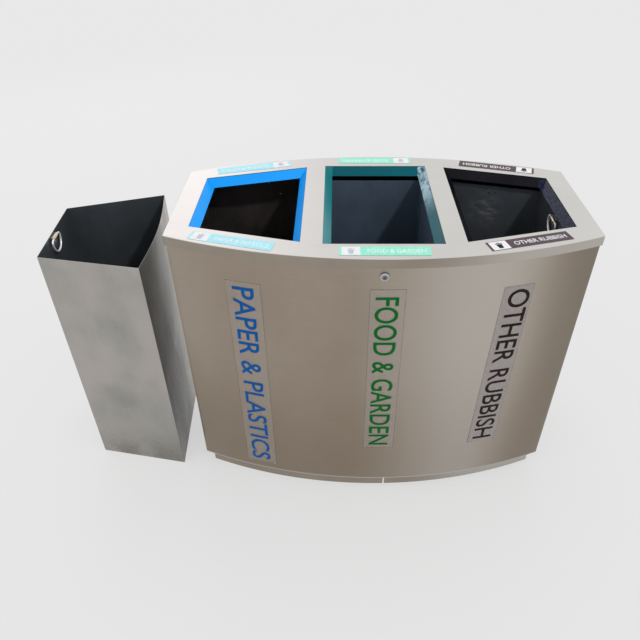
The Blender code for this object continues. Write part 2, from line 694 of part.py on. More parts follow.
def lock(front_panel):
    """A cam lock through the front panel. Its cam points up when open and to the side when shut."""
    axis_at = (0.0, LOCK_Z)
    face = FRONT_Y - CURVED_GAP
    tail = FRONT_Y + 0.018
    bore = PLUG_RADIUS + GAP
    body = [(bore, face - 0.0040), (0.0090, face - 0.0038), (0.0112, face - 0.0022), (BEZEL_RADIUS, face),
            (BARREL_RADIUS, face), (BARREL_RADIUS, tail), (bore, tail)]
    turned("lock_body", CHROME, body, axis_at)

    hole = rod("lock_hole", (0, FRONT_Y - 0.02, LOCK_Z), (0, FRONT_Y + 0.02, LOCK_Z), BARREL_RADIUS + GAP)
    combine(front_panel, add_cutter("lock_hole", hole), "DIFFERENCE")

    nut_face = FRONT_Y + BODY_SHEET + CURVED_GAP
    nut = add_part("lock_nut", rod(
        "lock_nut", (0, nut_face, LOCK_Z), (0, nut_face + NUT_HEIGHT, LOCK_Z), NUT_RADIUS, sides=6), ZINC)
    combine(nut, bpy.data.objects["lock_hole"], "DIFFERENCE")

    slot = add_cutter("key_slot", box(
        "key_slot", (-KEY_SLOT_HALF_WIDTH, face - 0.02, LOCK_Z - KEY_SLOT_HALF_HEIGHT),
        (KEY_SLOT_HALF_WIDTH, face + 0.002, LOCK_Z + KEY_SLOT_HALF_HEIGHT)))
    plug_back = tail + 0.0015
    plug = [(0.0, face - 0.0036), (PLUG_RADIUS - 0.0008, face - 0.0036), (PLUG_RADIUS, face - 0.0028),
            (PLUG_RADIUS, plug_back), (0.0, plug_back)]
    turned("lock_plug", CHROME, plug, axis_at, cutters=[slot])

    cam_front = plug_back + GAP
    cam_back = cam_front + CAM_THICKNESS
    cam = add_part("lock_cam", box(
        "lock_cam", (-CAM_HALF_WIDTH, cam_front, LOCK_Z - CAM_HALF_WIDTH),
        (CAM_HALF_WIDTH, cam_back, LOCK_Z + CAM_LENGTH)), ZINC)
    bolt_hole = rod(
        "cam_hole", (0, cam_front - CUT_PAST, LOCK_Z), (0, cam_back + CUT_PAST, LOCK_Z), 0.0028)
    bolt_hole = add_cutter("cam_hole", bolt_hole)
    combine(cam, bolt_hole, "DIFFERENCE")
    head = rod("lock_cam_bolt", (0, cam_back + GAP, LOCK_Z), (0, cam_back + 0.0035, LOCK_Z), 0.005, sides=6)
    cam_bolt = add_part("lock_cam_bolt", head, ZINC)
    shank = rod("cam_shank", (0, cam_front + GAP, LOCK_Z), (0, cam_back + 0.001, LOCK_Z), 0.0024, sides=12)
    combine(cam_bolt, add_cutter("cam_shank", shank), "UNION")


def lid_catch():
    """A hook under the lid. Its foot lies just below the cam when the cam is turned to the side."""
    top = CHUTE_TOP
    foot_top = CATCH_FOOT_Z + CATCH_SHEET
    front = CATCH_FRONT_Y
    foot = front + CATCH_FOOT_REACH
    head = front + CATCH_HEAD_REACH
    left = CATCH_X - CATCH_HALF_WIDTH
    right = CATCH_X + CATCH_HALF_WIDTH
    outline = [(front, CATCH_FOOT_Z), (foot, CATCH_FOOT_Z), (foot, foot_top),
               (front + CATCH_SHEET, foot_top), (front + CATCH_SHEET, top - CATCH_SHEET),
               (head, top - CATCH_SHEET), (head, top), (front, top)]
    add_part("lid_catch", side_prism("lid_catch", outline, left, right), STAINLESS)


# ---------------------------------------------------------------- liners and rings

def arc_line(start, end, bow, steps):
    """Points from start towards end, pushed to the right of the line by up to the bow."""
    start = Vector(start)
    way = Vector(end) - start
    out = Vector((way.y, -way.x)).normalized()
    points = []
    for step in range(steps):
        share = step / steps
        points.append(start + way * share + out * bow * math.sin(math.pi * share))
    return points


def liner_outline(side, bow=0.0):
    """Plan of a liner, counter-clockwise. The bow is in the long wall that faces the middle."""
    if side == "middle":
        w = LINER_MIDDLE_HALF_WIDTH
        d = LINER_MIDDLE_HALF_DEPTH
        return [(-w, -d), (w, -d), (w, d), (-w, d)]
    long_start = (-LINER_INNER_X, -LINER_INNER_HALF_DEPTH)
    long_end = (-LINER_INNER_X, LINER_INNER_HALF_DEPTH)
    outer = [(-LINER_OUTER_X, LINER_OUTER_HALF_DEPTH), (-LINER_OUTER_X, -LINER_OUTER_HALF_DEPTH)]
    long_wall = arc_line(long_start, long_end, bow, 10) if bow else [long_start]
    points = [tuple(point) for point in long_wall] + [long_end] + outer
    if side == "left":
        return points
    return [(-x, y) for x, y in reversed(points)]


def ring_frame(side):
    """Where a liner's ring bracket sits: a point of the wall's inner face, and the way in from it."""
    if side == "middle":
        face = Vector((0.0, -LINER_MIDDLE_HALF_DEPTH + LINER_SHEET))
        return face, Vector((0.0, 1.0))
    sign = -1.0 if side == "left" else 1.0
    face = Vector((sign * (LINER_OUTER_X - LINER_SHEET), RING_WALL_Y))
    return face, Vector((-sign, 0.0))


def ring_points():
    """Centreline of a D ring in its own plane: the bar on top, the round side hanging below."""
    corner = []
    for step in range(4):
        angle = math.pi / 2 * step / 4
        x = RING_HALF_LENGTH - RING_CORNER + RING_CORNER * math.sin(angle)
        corner.append((x, RING_CORNER * math.cos(angle) - RING_CORNER))
    hanging = []
    steps = 14
    for step in range(steps + 1):
        angle = math.pi * step / steps
        z = -RING_CORNER - (RING_DROP - RING_CORNER) * math.sin(angle)
        hanging.append((RING_HALF_LENGTH * math.cos(angle), z))
    return corner + hanging + [(-x, z) for x, z in reversed(corner)]


def ring_mesh(name):
    """A closed wire along the ring's centreline, made a mesh."""
    curve = bpy.data.curves.new(name, "CURVE")
    curve.dimensions = "3D"
    curve.bevel_depth = RING_WIRE
    curve.bevel_resolution = 2
    spline = curve.splines.new("POLY")
    places = ring_points()
    spline.points.add(len(places) - 1)
    for point, (x, z) in zip(spline.points, places):
        point.co = (x, 0, z, 1)
    spline.use_cyclic_u = True
    helper = bpy.data.objects.new(name, curve)
    STATION.objects.link(helper)
    graph = bpy.context.evaluated_depsgraph_get()
    mesh = bpy.data.meshes.new_from_object(helper.evaluated_get(graph))
    bpy.data.objects.remove(helper, do_unlink=True)
    mesh.name = name
    mesh.shade_smooth()
    return mesh


def placed(mesh, matrix):
    mesh.transform(matrix)
    return mesh


def liner_set(side):
    """One liner, with its ring bracket and lifting ring, both in the station's frame."""
    lifted = side == "left"
    bow = LINER_BOW if lifted else 0.0
    floor = 0.0 if lifted else LINER_FLOOR
    rim = floor + LINER_HEIGHT
    move = Matrix.Identity(4)
    if lifted:
        move = Matrix.Translation((*LIFTED_LINER_MOVE, 0)) @ Matrix.Rotation(LIFTED_LINER_TURN, 4, "Z")

    straight = liner_outline(side, bow=1e-9 if lifted else 0.0)
    bowed = liner_outline(side, bow)
    rings = []
    levels = 6 if lifted else 1
    for level in range(levels + 1):
        share = level / levels
        height = floor + LINER_HEIGHT * share
        ring = [Vector(a).lerp(Vector(b), share) for a, b in zip(straight, bowed)]
        rings.append([(x, y, height) for x, y in ring])
    name = "liner_" + side
    liner = add_part(name, placed(loft(name, rings, cap_bottom=True), move), MILL_STEEL)
    solidify(liner, LINER_SHEET)

    face, inward = ring_frame(side)
    along = Vector((inward.y, -inward.x))
    axis = face + inward * RING_STAND_OFF
    turn = Matrix(((along.x, inward.x, 0, axis.x), (along.y, inward.y, 0, axis.y),
                   (0, 0, 1, rim - RING_BELOW_RIM), (0, 0, 0, 1)))
    place = move @ turn

    back = -RING_STAND_OFF + GAP
    half = BRACKET_LENGTH / 2
    name = "ring_bracket_" + side
    front = back + BRACKET_PLATE
    curl = [math.radians(230 + 20 * step) for step in range(12)]
    outline = [(back, -BRACKET_DROP), (front, -BRACKET_DROP), (front, BRACKET_CURL * math.sin(curl[0]))]
    outline += [(BRACKET_CURL * math.cos(turn), BRACKET_CURL * math.sin(turn)) for turn in curl]
    outline += [(back, BRACKET_CURL)]
    bracket = add_part(name, placed(side_prism(name, outline, -half, half), place), ZINC)
    bore_name = "bracket_bore_" + side
    bore = rod(bore_name, (-half - CUT_PAST, 0, 0), (half + CUT_PAST, 0, 0), RING_WIRE + CURVED_GAP)
    combine(bracket, add_cutter(bore_name, placed(bore, place)), "DIFFERENCE")

    for number, along_wall in enumerate((-RIVET_ALONG, RIVET_ALONG), start=1):
        hole_name = "ring_rivet_hole_%s_%d" % (side, number)
        hole = rod(hole_name, (along_wall, back - 0.006, -RIVET_DROP),
                   (along_wall, back + 0.006, -RIVET_DROP), RIVET_HOLE, sides=12)
        hole = add_cutter(hole_name, placed(hole, place))
        combine(bracket, hole, "DIFFERENCE")
        combine(liner, hole, "DIFFERENCE")

    name = "lifting_ring_" + side
    ring = add_part(name, ring_mesh(name), BRIGHT_WIRE)
    ring.matrix_world = place
    return liner


def spare_holes(liner):
    """Three small holes near the rim of the right liner's back wall."""
    wall_start = Vector((LINER_INNER_X, LINER_INNER_HALF_DEPTH))
    wall_end = Vector((LINER_OUTER_X, LINER_OUTER_HALF_DEPTH))
    way = (wall_end - wall_start).normalized()
    out = Vector((-way.y, way.x))
    rim = LINER_FLOOR + LINER_HEIGHT
    for number, (along, drop) in enumerate(((0.130, 0.012), (0.140, 0.024), (0.158, 0.021))):
        place = wall_start + way * along
        start = place - out * 0.01
        end = place + out * 0.01
        name = "spare_hole_%d" % number
        hole = rod(name, (*start, rim - drop), (*end, rim - drop), 0.0025, sides=12)
        combine(liner, add_cutter(name, hole), "DIFFERENCE")


def main():
    panels = front_and_back_panels()
    end_panels()
    base_pan()
    plinth()
    liner_guides()
    lid_buffers()
    outlines = chute_outlines()
    lid = lid_shell(outlines)
    chutes(outlines)
    lid_labels()
    front_films()
    hinges(panels["back_panel"], lid)
    lock(panels["front_panel"])
    lid_catch()
    for side in ("left", "middle"):
        liner_set(side)
    spare_holes(liner_set("right"))


main()
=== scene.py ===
"""Finish of the three-compartment recycling bin station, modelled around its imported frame.

Metres, +Z up, front towards -Y. The cabinet is a lens in plan: two arcs of one radius and two flat
ends. Sheets, chutes, liners, labels, films and rings are made here with their folds and rounded
edges. Small folded and turned parts are copies of their solids with rounded edges.
"""

import json
import math

import bmesh
import bpy
from mathutils import Matrix, Vector

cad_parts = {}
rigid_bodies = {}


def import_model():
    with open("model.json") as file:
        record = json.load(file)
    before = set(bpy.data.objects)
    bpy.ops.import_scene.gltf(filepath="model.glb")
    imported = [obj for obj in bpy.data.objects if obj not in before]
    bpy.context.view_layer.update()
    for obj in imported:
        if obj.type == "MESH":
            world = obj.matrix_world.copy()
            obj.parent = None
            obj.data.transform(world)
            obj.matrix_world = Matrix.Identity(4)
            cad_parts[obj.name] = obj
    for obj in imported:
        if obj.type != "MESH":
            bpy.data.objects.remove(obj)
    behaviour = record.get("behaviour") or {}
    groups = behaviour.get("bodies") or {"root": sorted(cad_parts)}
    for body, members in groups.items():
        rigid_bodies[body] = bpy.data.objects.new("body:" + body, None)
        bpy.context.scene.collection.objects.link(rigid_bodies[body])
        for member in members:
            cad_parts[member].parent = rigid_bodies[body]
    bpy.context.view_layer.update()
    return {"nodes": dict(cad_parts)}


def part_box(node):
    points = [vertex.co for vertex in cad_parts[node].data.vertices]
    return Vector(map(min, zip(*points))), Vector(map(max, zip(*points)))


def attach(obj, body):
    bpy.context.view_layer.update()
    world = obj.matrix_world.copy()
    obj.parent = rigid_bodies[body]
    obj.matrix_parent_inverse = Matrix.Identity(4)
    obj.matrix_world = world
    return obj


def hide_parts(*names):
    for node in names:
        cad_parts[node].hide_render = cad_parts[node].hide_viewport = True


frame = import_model()
bpy.ops.object.select_all(action="DESELECT")

# ------------------------------------------------------------------ sizes

LID_LOW, LID_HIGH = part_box("lid_shell")
PANEL_LOW, PANEL_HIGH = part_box("front_panel")
LID_RADIUS = 1.430
ARC_CENTRE = LID_RADIUS + LID_LOW[1]        # distance of each arc's centre from the lens's middle
BODY_RADIUS = ARC_CENTRE - PANEL_LOW[1]
PLINTH_RADIUS = ARC_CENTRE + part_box("plinth_back")[1][1]
ARC_VERTICES = 720
SHEET = 0.0015
LINER_SHEET = 0.0012
CHUTE_SHEET = 0.0012
EASE = 0.0004                               # rounding of a cut sheet edge
TOUCH = 1e-5                                # places nearer than this count as the same
ON_ARC = 2e-4                               # a chord's vertex lies this near its arc

# Middle: half width and half depth. Side: where it starts and its half depth there, then where it
# ends and its half depth there.
MIDDLE_OPENING = (0.150, 0.230)
SIDE_OPENING = (0.205, 0.221, 0.493, 0.144)
LINER_MIDDLE = (0.140, 0.215)
LINER_SIDE = (0.2075, 0.212, 0.4885, 0.140)
COMPARTMENTS = ("left", "middle", "right")

# The lifted liner stands beside the cabinet, turned a little. Its side wall bows out at the rim.
LIFTED_TURN = math.radians(3.8)
LIFTED_MOVE = Matrix.Translation((-0.4330, 0.0320, 0)) @ Matrix.Rotation(LIFTED_TURN, 4, "Z")
LINER_BOW = 0.016


# ------------------------------------------------------------------ bench tools

def wake(obj):
    """Makes one object the only selected one, and active."""
    bpy.ops.object.select_all(action="DESELECT")
    obj.select_set(True)
    bpy.context.view_layer.objects.active = obj


def settle(obj):
    """Puts an object's place, turn and scale into its mesh."""
    wake(obj)
    bpy.ops.object.transform_apply(location=True, rotation=True, scale=True)
    return obj


def edit(obj):
    """Goes into edit mode on one object."""
    wake(obj)
    bpy.ops.object.mode_set(mode="EDIT")


def leave():
    """Goes back to object mode."""
    bpy.ops.object.mode_set(mode="OBJECT")


def pick(obj, kind, test):
    """In edit mode, selects only the edges or faces that pass the test."""
    bpy.ops.mesh.select_mode(type=kind)
    bpy.ops.mesh.select_all(action="DESELECT")
    grid = bmesh.from_edit_mesh(obj.data)
    for item in grid.edges if kind == "EDGE" else grid.faces:
        if test(item):
            item.select_set(True)
    grid.select_flush_mode()
    bmesh.update_edit_mesh(obj.data)


def rise(edge):
    """How far an edge climbs."""
    return abs(edge.verts[0].co.z - edge.verts[1].co.z)


def finish_modifier(obj, kind, **settings):
    """Adds a modifier with these settings and applies it."""
    wake(obj)
    step = obj.modifiers.new(kind.lower(), kind)
    for setting, value in settings.items():
        setattr(step, setting, value)
    bpy.ops.object.modifier_apply(modifier=step.name)


def ease_edges(obj, width, angle=35):
    """Rounds every edge sharper than the angle."""
    finish_modifier(obj, "BEVEL", width=width, segments=2, limit_method="ANGLE",
                    angle_limit=math.radians(angle), use_clamp_overlap=True, miter_outer="MITER_ARC")


def smooth(obj, angle=35, weighted=False):
    """Smooth shading, sharp past the angle. Weighting keeps broad faces flat beside small ones."""
    wake(obj)
    bpy.ops.object.shade_smooth_by_angle(angle=math.radians(angle))
    if weighted:
        finish_modifier(obj, "WEIGHTED_NORMAL", keep_sharp=True, weight=90)


def cut(obj, tool):
    """Cuts the tool's shape out of the object and clears the tool away."""
    finish_modifier(obj, "BOOLEAN", operation="DIFFERENCE", solver="EXACT", object=tool)
    bpy.data.objects.remove(tool, do_unlink=True)


def block(name, low, high):
    """A plain block to start a piece from."""
    bpy.ops.mesh.primitive_cube_add(size=1.0)
    made = bpy.context.object
    made.name = name
    made.scale = [b - a for a, b in zip(low, high)]
    made.location = [(a + b) / 2 for a, b in zip(low, high)]
    return settle(made)


def bar(name, start, end, radius, sides=48):
    """A plain round bar to start a piece from."""
    start = Vector(start)
    end = Vector(end)
    way = end - start
    bpy.ops.mesh.primitive_cylinder_add(vertices=sides, radius=radius, depth=way.length)
    made = bpy.context.object
    made.name = name
    made.rotation_mode = "QUATERNION"
    made.rotation_quaternion = way.to_track_quat("Z", "Y")
    made.location = (start + end) / 2
    return settle(made)


def copy_piece(source, name, place):
    """A copy with its own mesh, moved by the matrix."""
    made = source.copy()
    made.data = source.data.copy()
    made.name = name
    bpy.context.collection.objects.link(made)
    made.data.transform(place)
    return made


def score(point, normal):
    """In edit mode, splits the faces along a plane."""
    bpy.ops.mesh.select_all(action="SELECT")
    bpy.ops.mesh.bisect(plane_co=point, plane_no=normal)


def trim(point, normal, fill=False):
    """In edit mode, cuts away the side of a plane that its normal points to."""
    bpy.ops.mesh.select_all(action="SELECT")
    bpy.ops.mesh.bisect(plane_co=point, plane_no=normal, clear_outer=True, use_fill=fill)


def half_depth(x, radius):
    """Half the depth of the lens at x, for an arc of this radius."""
    return math.sqrt(radius * radius - x * x) - ARC_CENTRE


def curved_wall(name, radius, side, from_x, to_x, low, high):
    """An open upright wall along the front (side -1) or back (side 1) arc."""
    bpy.ops.mesh.primitive_cylinder_add(
        vertices=ARC_VERTICES, radius=radius, depth=high - low, end_fill_type="NOTHING",
        location=(0, -side * ARC_CENTRE, (low + high) / 2))
    wall = bpy.context.object
    wall.name = name
    settle(wall)
    edit(wall)
    trim((from_x, 0, 0), (-1, 0, 0))
    trim((to_x, 0, 0), (1, 0, 0))
    trim((0, 0, 0), (0, -side, 0))
    leave()
    return wall


def fold_edge(obj, z, radius, side, reach, bend):
    """Folds the wall's edge at height z inwards by the reach, with a rounded bend."""
    middle = Vector((0, -side * ARC_CENTRE))

    def at_height(edge):
        return all(abs(vert.co.z - z) < TOUCH for vert in edge.verts)

    def on_fold(edge):
        return at_height(edge) and all(abs((vert.co.xy - middle).length - radius) < ON_ARC
                                       for vert in edge.verts)

    pick(obj, "EDGE", at_height)
    bpy.ops.mesh.extrude_region_move()
    share = (radius - reach) / radius
    bpy.ops.transform.resize(value=(share, share, 1), center_override=(*middle, z))
    pick(obj, "EDGE", on_fold)
    bpy.ops.mesh.bevel(offset=bend, segments=4)


# ------------------------------------------------------------------ materials

class Wire:
    """A shader socket that sums can be written with."""

    def __init__(self, finish, socket):
        self.finish = finish
        self.socket = socket

    def sum(self, operation, *values):
        """A Math node on these values."""
        return self.finish.node("ShaderNodeMath", {"operation": operation}, dict(enumerate(values)))

    def __add__(self, other):
        return self.sum("ADD", self, other)

    def __sub__(self, other):
        return self.sum("SUBTRACT", self, other)

    def __rsub__(self, other):
        return self.sum("SUBTRACT", other, self)

    def __mul__(self, other):
        return self.sum("MULTIPLY", self, other)

    __radd__ = __add__


class Finish:
    """A material: a Principled shader and the nodes that feed it."""

    def __init__(self, name, colour, roughness, metallic=0.0, **uniform):
        self.material = bpy.data.materials.new(name)
        self.material.use_nodes = True
        self.nodes = self.material.node_tree.nodes
        self.links = self.material.node_tree.links
        self.shader = self.nodes["Principled BSDF"]
        self.set("Base Color", (*colour, 1.0))
        self.set("Roughness", roughness)
        self.set("Metallic", metallic)
        for socket, value in uniform.items():
            self.set(socket.replace("_", " "), value)
        self.place = Wire(self, self.nodes.new("ShaderNodeTexCoord").outputs["Object"])

    def feed(self, socket, value):
        """Links a wire to a socket, or gives the socket a value."""
        if isinstance(value, Wire):
            self.links.new(value.socket, socket)
        else:
            socket.default_value = value

    def set(self, socket, value):
        """One input of the shader."""
        self.feed(self.shader.inputs[socket], value)

    def node(self, kind, settings=None, inputs=None, output=0):
        """Any other node, from its type, its settings and the values or wires of its sockets."""
        made = self.nodes.new(kind)
        for setting, value in (settings or {}).items():
            setattr(made, setting, value)
        for socket, value in (inputs or {}).items():
            self.feed(made.inputs[socket], value)
        return Wire(self, made.outputs[output])

    def mapped(self, scale, turn):
        """The piece's own coordinates, scaled and turned."""
        return self.node("ShaderNodeMapping", None,
                         {"Vector": self.place, "Scale": scale, "Rotation": turn})

    def noise(self, scale, detail=3.0, roughness=0.5, stretch=(1, 1, 1), turn=(0, 0, 0)):
        """Noise from 0 to 1. It is finer along the axes with a larger stretch."""
        return self.node("ShaderNodeTexNoise", {"noise_dimensions": "3D"},
                         {"Vector": self.mapped(stretch, turn), "Scale": scale, "Detail": detail,
                          "Roughness": roughness})

    def band(self, value, low, high):
        """Goes smoothly from 0 to 1 while a value goes from low to high, and is held past both."""
        return self.node("ShaderNodeMapRange", {"clamp": True, "interpolation_type": "SMOOTHSTEP"},
                         {"Value": value, "From Min": low, "From Max": high})

    def axis(self, name, turn=(0, 0, 0)):
        """One coordinate of the piece, in metres, after a turn."""
        vector = self.mapped((1, 1, 1), turn) if any(turn) else self.place
        return self.node("ShaderNodeSeparateXYZ", None, {"Vector": vector}, output="XYZ".index(name))

    def blend(self, share, first, second):
        """A colour between two colours."""
        ends = [colour if isinstance(colour, Wire) else (*colour, 1.0) for colour in (first, second)]
        return self.node("ShaderNodeMix", {"data_type": "RGBA"}, {0: share, 6: ends[0], 7: ends[1]},
                         output=2)

    def bump(self, height, strength, distance, below=None):
        """A normal raised by the height, on top of another normal where one is given."""
        inputs = {"Height": height, "Strength": strength, "Distance": distance}
        if below is not None:
            inputs["Normal"] = below
        return self.node("ShaderNodeBump", None, inputs)


def brushed_steel(name, colour, dark, roughness, grain_stretch):
    """Satin sheet: fine grain along one way, faint smears, slow waves of a thin sheet."""
    steel = Finish(name, colour, roughness, metallic=1.0)
    grain = steel.noise(1.0, detail=3.0, roughness=0.6, stretch=grain_stretch)
    smear = steel.noise(3.2, detail=5.0, roughness=0.62, stretch=(1.0, 1.0, 0.55))
    tone = steel.band(grain * 0.35 + smear * 0.65, 0.30, 0.70)
    steel.tone = steel.blend(tone, dark, colour)
    steel.set("Base Color", steel.tone)
    steel.set("Roughness", roughness + (smear - 0.5) * 0.14 + (grain - 0.5) * 0.08)
    sheet = steel.bump(steel.noise(2.4, detail=1.0), 0.30, 0.004)
    steel.set("Normal", steel.bump(grain, 0.05, 0.0002, below=sheet))
    return steel


def front_steel():
    """The front sheet, its brown tone and its bands painted reflections of the floor: a pale upright band,
    a darker right edge, browner low down, and a painted highlight along the folded bottom edge.
    """
    steel = brushed_steel("front_stainless", (0.370, 0.312, 0.256), (0.305, 0.252, 0.200), 0.33,
                          (8, 8, 1200))
    across = steel.axis("X")
    up = steel.axis("Z")
    # Painted reflection: a pale upright band.
    pale = steel.band(across, -0.10, 0.26) * steel.band(across, 0.50, 0.28)
    shade = steel.blend(pale * 0.82, steel.tone, (0.52, 0.483, 0.442))
    # Painted reflection: darker towards the right edge.
    edge = steel.band(across, 0.36, 0.56)
    shade = steel.blend(edge * 0.70, shade, (0.185, 0.160, 0.128))
    # Painted reflection: lighter at the upper left.
    painted_left_reflection = steel.band(across, -0.38, -0.53) * steel.band(up, 0.15, 0.65)
    shade = steel.blend(painted_left_reflection * 0.4, shade, (0.38, 0.32, 0.27))
    # Painted reflection: browner low down, less so in the pale band.
    low_down = steel.band(up, 0.66, 0.08) * (1 - pale * 0.6)
    shade = steel.blend(low_down * 0.62, shade, (0.225, 0.176, 0.126))
    # Painted highlight along the folded bottom edge.
    painted_fold_highlight = steel.band(up, 0.0585, 0.0555)
    shade = steel.blend(painted_fold_highlight * 0.7, shade, (0.60, 0.575, 0.54))
    scrape = steel.band(steel.noise(1.0, detail=2.0, stretch=(9, 9, 260)), 0.70, 0.74)
    shade = steel.blend(scrape * 0.07, shade, (0.62, 0.59, 0.55))
    steel.set("Base Color", shade)
    return steel


def lid_steel():
    """The lid's top: a painted highlight makes it paler towards the left, with short hazy rub marks."""
    steel = brushed_steel("lid_stainless", (0.66, 0.645, 0.62), (0.60, 0.585, 0.555), 0.36, (8, 900, 900))
    across = steel.axis("X")
    # Painted highlight: paler towards the left.
    shade = steel.blend(steel.band(across, 0.16, -0.46), steel.tone, (0.73, 0.695, 0.685))
    rub = steel.band(steel.noise(26.0, detail=5.0, roughness=0.7, stretch=(0.5, 1, 1)), 0.55, 0.75)
    steel.set("Base Color", steel.blend(rub * 0.18, shade, (0.52, 0.50, 0.47)))
    return steel


def skirt_steel():
    """The lid's skirt and the plinth: brown at the left and middle, with a painted reflection making it
    paler towards the right.
    """
    steel = brushed_steel("skirt_stainless", (0.36, 0.315, 0.265), (0.29, 0.248, 0.205), 0.34, (8, 8, 1200))
    # Painted reflection: paler towards the right.
    pale = steel.band(steel.axis("X"), 0.08, 0.34)
    steel.set("Base Color", steel.blend(pale * 0.85, steel.tone, (0.50, 0.47, 0.43)))
    return steel


FRONT_STEEL = front_steel()
LID_STEEL = lid_steel()
PLAIN_STEEL = brushed_steel("cabinet_stainless", (0.40, 0.375, 0.34), (0.33, 0.305, 0.275), 0.36,
                            (8, 8, 1200))
SKIRT_STEEL = skirt_steel()


def liner_wall_shade_and_streaks(steel, shade, wall_x, wall_turn):
    """The lifted liner's wall nearest the cabinet: painted shadow and grime to the front, darker low down,
    a painted warm reflection of the cabinet to the back, streaked up and down.
    """
    across = steel.axis("X", turn=(0, 0, wall_turn))
    wall = steel.band(across, wall_x - 0.0015, wall_x + 0.0005)
    along = steel.axis("Y")
    low_down = steel.band(steel.axis("Z"), 0.62, 0.25)
    # Painted shadow and grime towards the front of the wall, darker low down.
    dark = steel.band(along, 0.09, -0.03) * (0.55 + low_down * 0.27)
    shade = steel.blend(wall * dark, shade, (0.150, 0.150, 0.148))
    # Painted reflection: the cabinet's warm reflection towards the back of the wall.
    shade = steel.blend(wall * steel.band(along, 0.02, 0.13) * 0.60, shade, (0.48, 0.41, 0.345))
    rub = steel.noise(1.0, detail=5.0, roughness=0.75, stretch=(1, 26, 5), turn=(0.12, 0, 0))
    shade = steel.blend(wall * steel.band(rub, 0.53, 0.70) * 0.45, shade, (0.66, 0.65, 0.63))
    return steel.blend(wall * steel.band(rub, 0.47, 0.32) * 0.35, shade, (0.12, 0.12, 0.11))


def chalk(steel, shade, centre):
    """A faint chalky patch round a place."""
    away = steel.node("ShaderNodeVectorMath", {"operation": "DISTANCE"}, {0: steel.place, 1: centre},
                      output=1)
    grain = steel.noise(34.0, detail=5.0, roughness=0.7, stretch=(1.0, 1.0, 1.8))
    patch = steel.band(away, 0.070, 0.012) * steel.band(grain, 0.44, 0.62)
    return steel.blend(patch * 0.26, shade, (0.50, 0.52, 0.55))


def mill_steel(name, colour, dark, warm, stain, metal=1.0, liner_wall_shade=None, chalked=None):
    """Dull sheet as it comes from the mill, with smudges, rubs, scratches, painted shade that darkens it
    towards the bottom, and dirt low down.
    """
    steel = Finish(name, colour, 0.45, metallic=metal)
    up = steel.axis("Z")
    cloud = steel.noise(2.6, detail=3.0, roughness=0.5)
    smudge = steel.noise(7.0, detail=6.0, roughness=0.62, stretch=(1.0, 1.0, 0.6))
    streak = steel.noise(1.0, detail=5.0, roughness=0.7, stretch=(90, 90, 4), turn=(0.05, 0.08, 0))
    shade = steel.blend(steel.band(cloud * 0.5 + smudge * 0.4 + streak * 0.1, 0.36, 0.64), dark, colour)
    shade = steel.blend(steel.band(cloud, 0.45, 0.68) * 0.7, shade, warm)
    scratch = steel.noise(1.0, detail=1.0, stretch=(16, 16, 420), turn=(0.35, 0.15, 0.4))
    shade = steel.blend(steel.band(scratch, 0.715, 0.74) * 0.35, shade, dark)
    # Painted shade: darker towards the bottom.
    shade = steel.blend(steel.band(up, 0.36, 0.12) * 0.30, shade, dark)
    low_down = steel.band(up, 0.16, 0.0)
    speck = steel.noise(120.0, detail=2.0, roughness=0.6)
    dirt = steel.band(speck, 0.62, 0.70) * (0.04 + low_down * 0.70)
    if liner_wall_shade:
        shade = liner_wall_shade_and_streaks(steel, shade, *liner_wall_shade)
    if chalked:
        shade = chalk(steel, shade, chalked)
    grime = low_down * steel.band(smudge, 0.42, 0.62) * 0.45
    shade = steel.blend(grime, shade, stain)
    shade = steel.blend(dirt, shade, stain)
    steel.set("Base Color", shade)
    steel.set("Roughness", 0.38 + (smudge - 0.5) * 0.30 + dirt * 0.3)
    steel.set("Metallic", metal - dirt * 0.6 * metal)
    sheet = steel.bump(cloud, 0.35, 0.006)
    steel.set("Normal", steel.bump(streak, 0.06, 0.0003, below=sheet))
    return steel


# X of the lifted liner's wall nearest the cabinet, measured along the liner's own turned axis.
LIFTED_WALL_X = (Matrix.Rotation(-LIFTED_TURN, 4, "Z") @ LIFTED_MOVE.translation).x - LINER_SIDE[0]
# The outside carries painted shadow and a painted reflection on the wall nearest the cabinet.
LINER_OUTSIDE = mill_steel("liner_outside_steel", (0.42, 0.405, 0.385), (0.285, 0.29, 0.265),
                           (0.47, 0.425, 0.405), (0.12, 0.10, 0.075),
                           liner_wall_shade=(LIFTED_WALL_X, -LIFTED_TURN))
SPARE_HOLES_PLACE = (0.340, 0.186, 0.750)
LINER_INSIDE = mill_steel("liner_inside_steel", (0.100, 0.112, 0.128), (0.064, 0.073, 0.084),
                          (0.108, 0.116, 0.128), (0.03, 0.03, 0.03), metal=0.55,
                          chalked=SPARE_HOLES_PLACE)
# Painted light: a lighter, bluer copy of the liner's inside finish for the middle compartment.
MIDDLE_INSIDE_LIT = mill_steel("middle_liner_inside_painted_light", (0.128, 0.178, 0.245), (0.088, 0.122, 0.168),
                           (0.135, 0.180, 0.240), (0.03, 0.03, 0.03), metal=0.55)
# Painted shade: the cabinet's inner faces and the parts inside it are coloured dark.
CABINET_INSIDE_SHADE = mill_steel("cabinet_inside_painted_shade", (0.090, 0.078, 0.074), (0.036, 0.031, 0.030),
                            (0.16, 0.132, 0.118), (0.02, 0.017, 0.015), metal=0.7)
# Painted shadow line: the cut edges of the lid's openings are coloured near black.
OPENING_SHADOW_LINE = Finish("opening_painted_shadow_line", (0.025, 0.024, 0.024), 0.6, metallic=0.6)


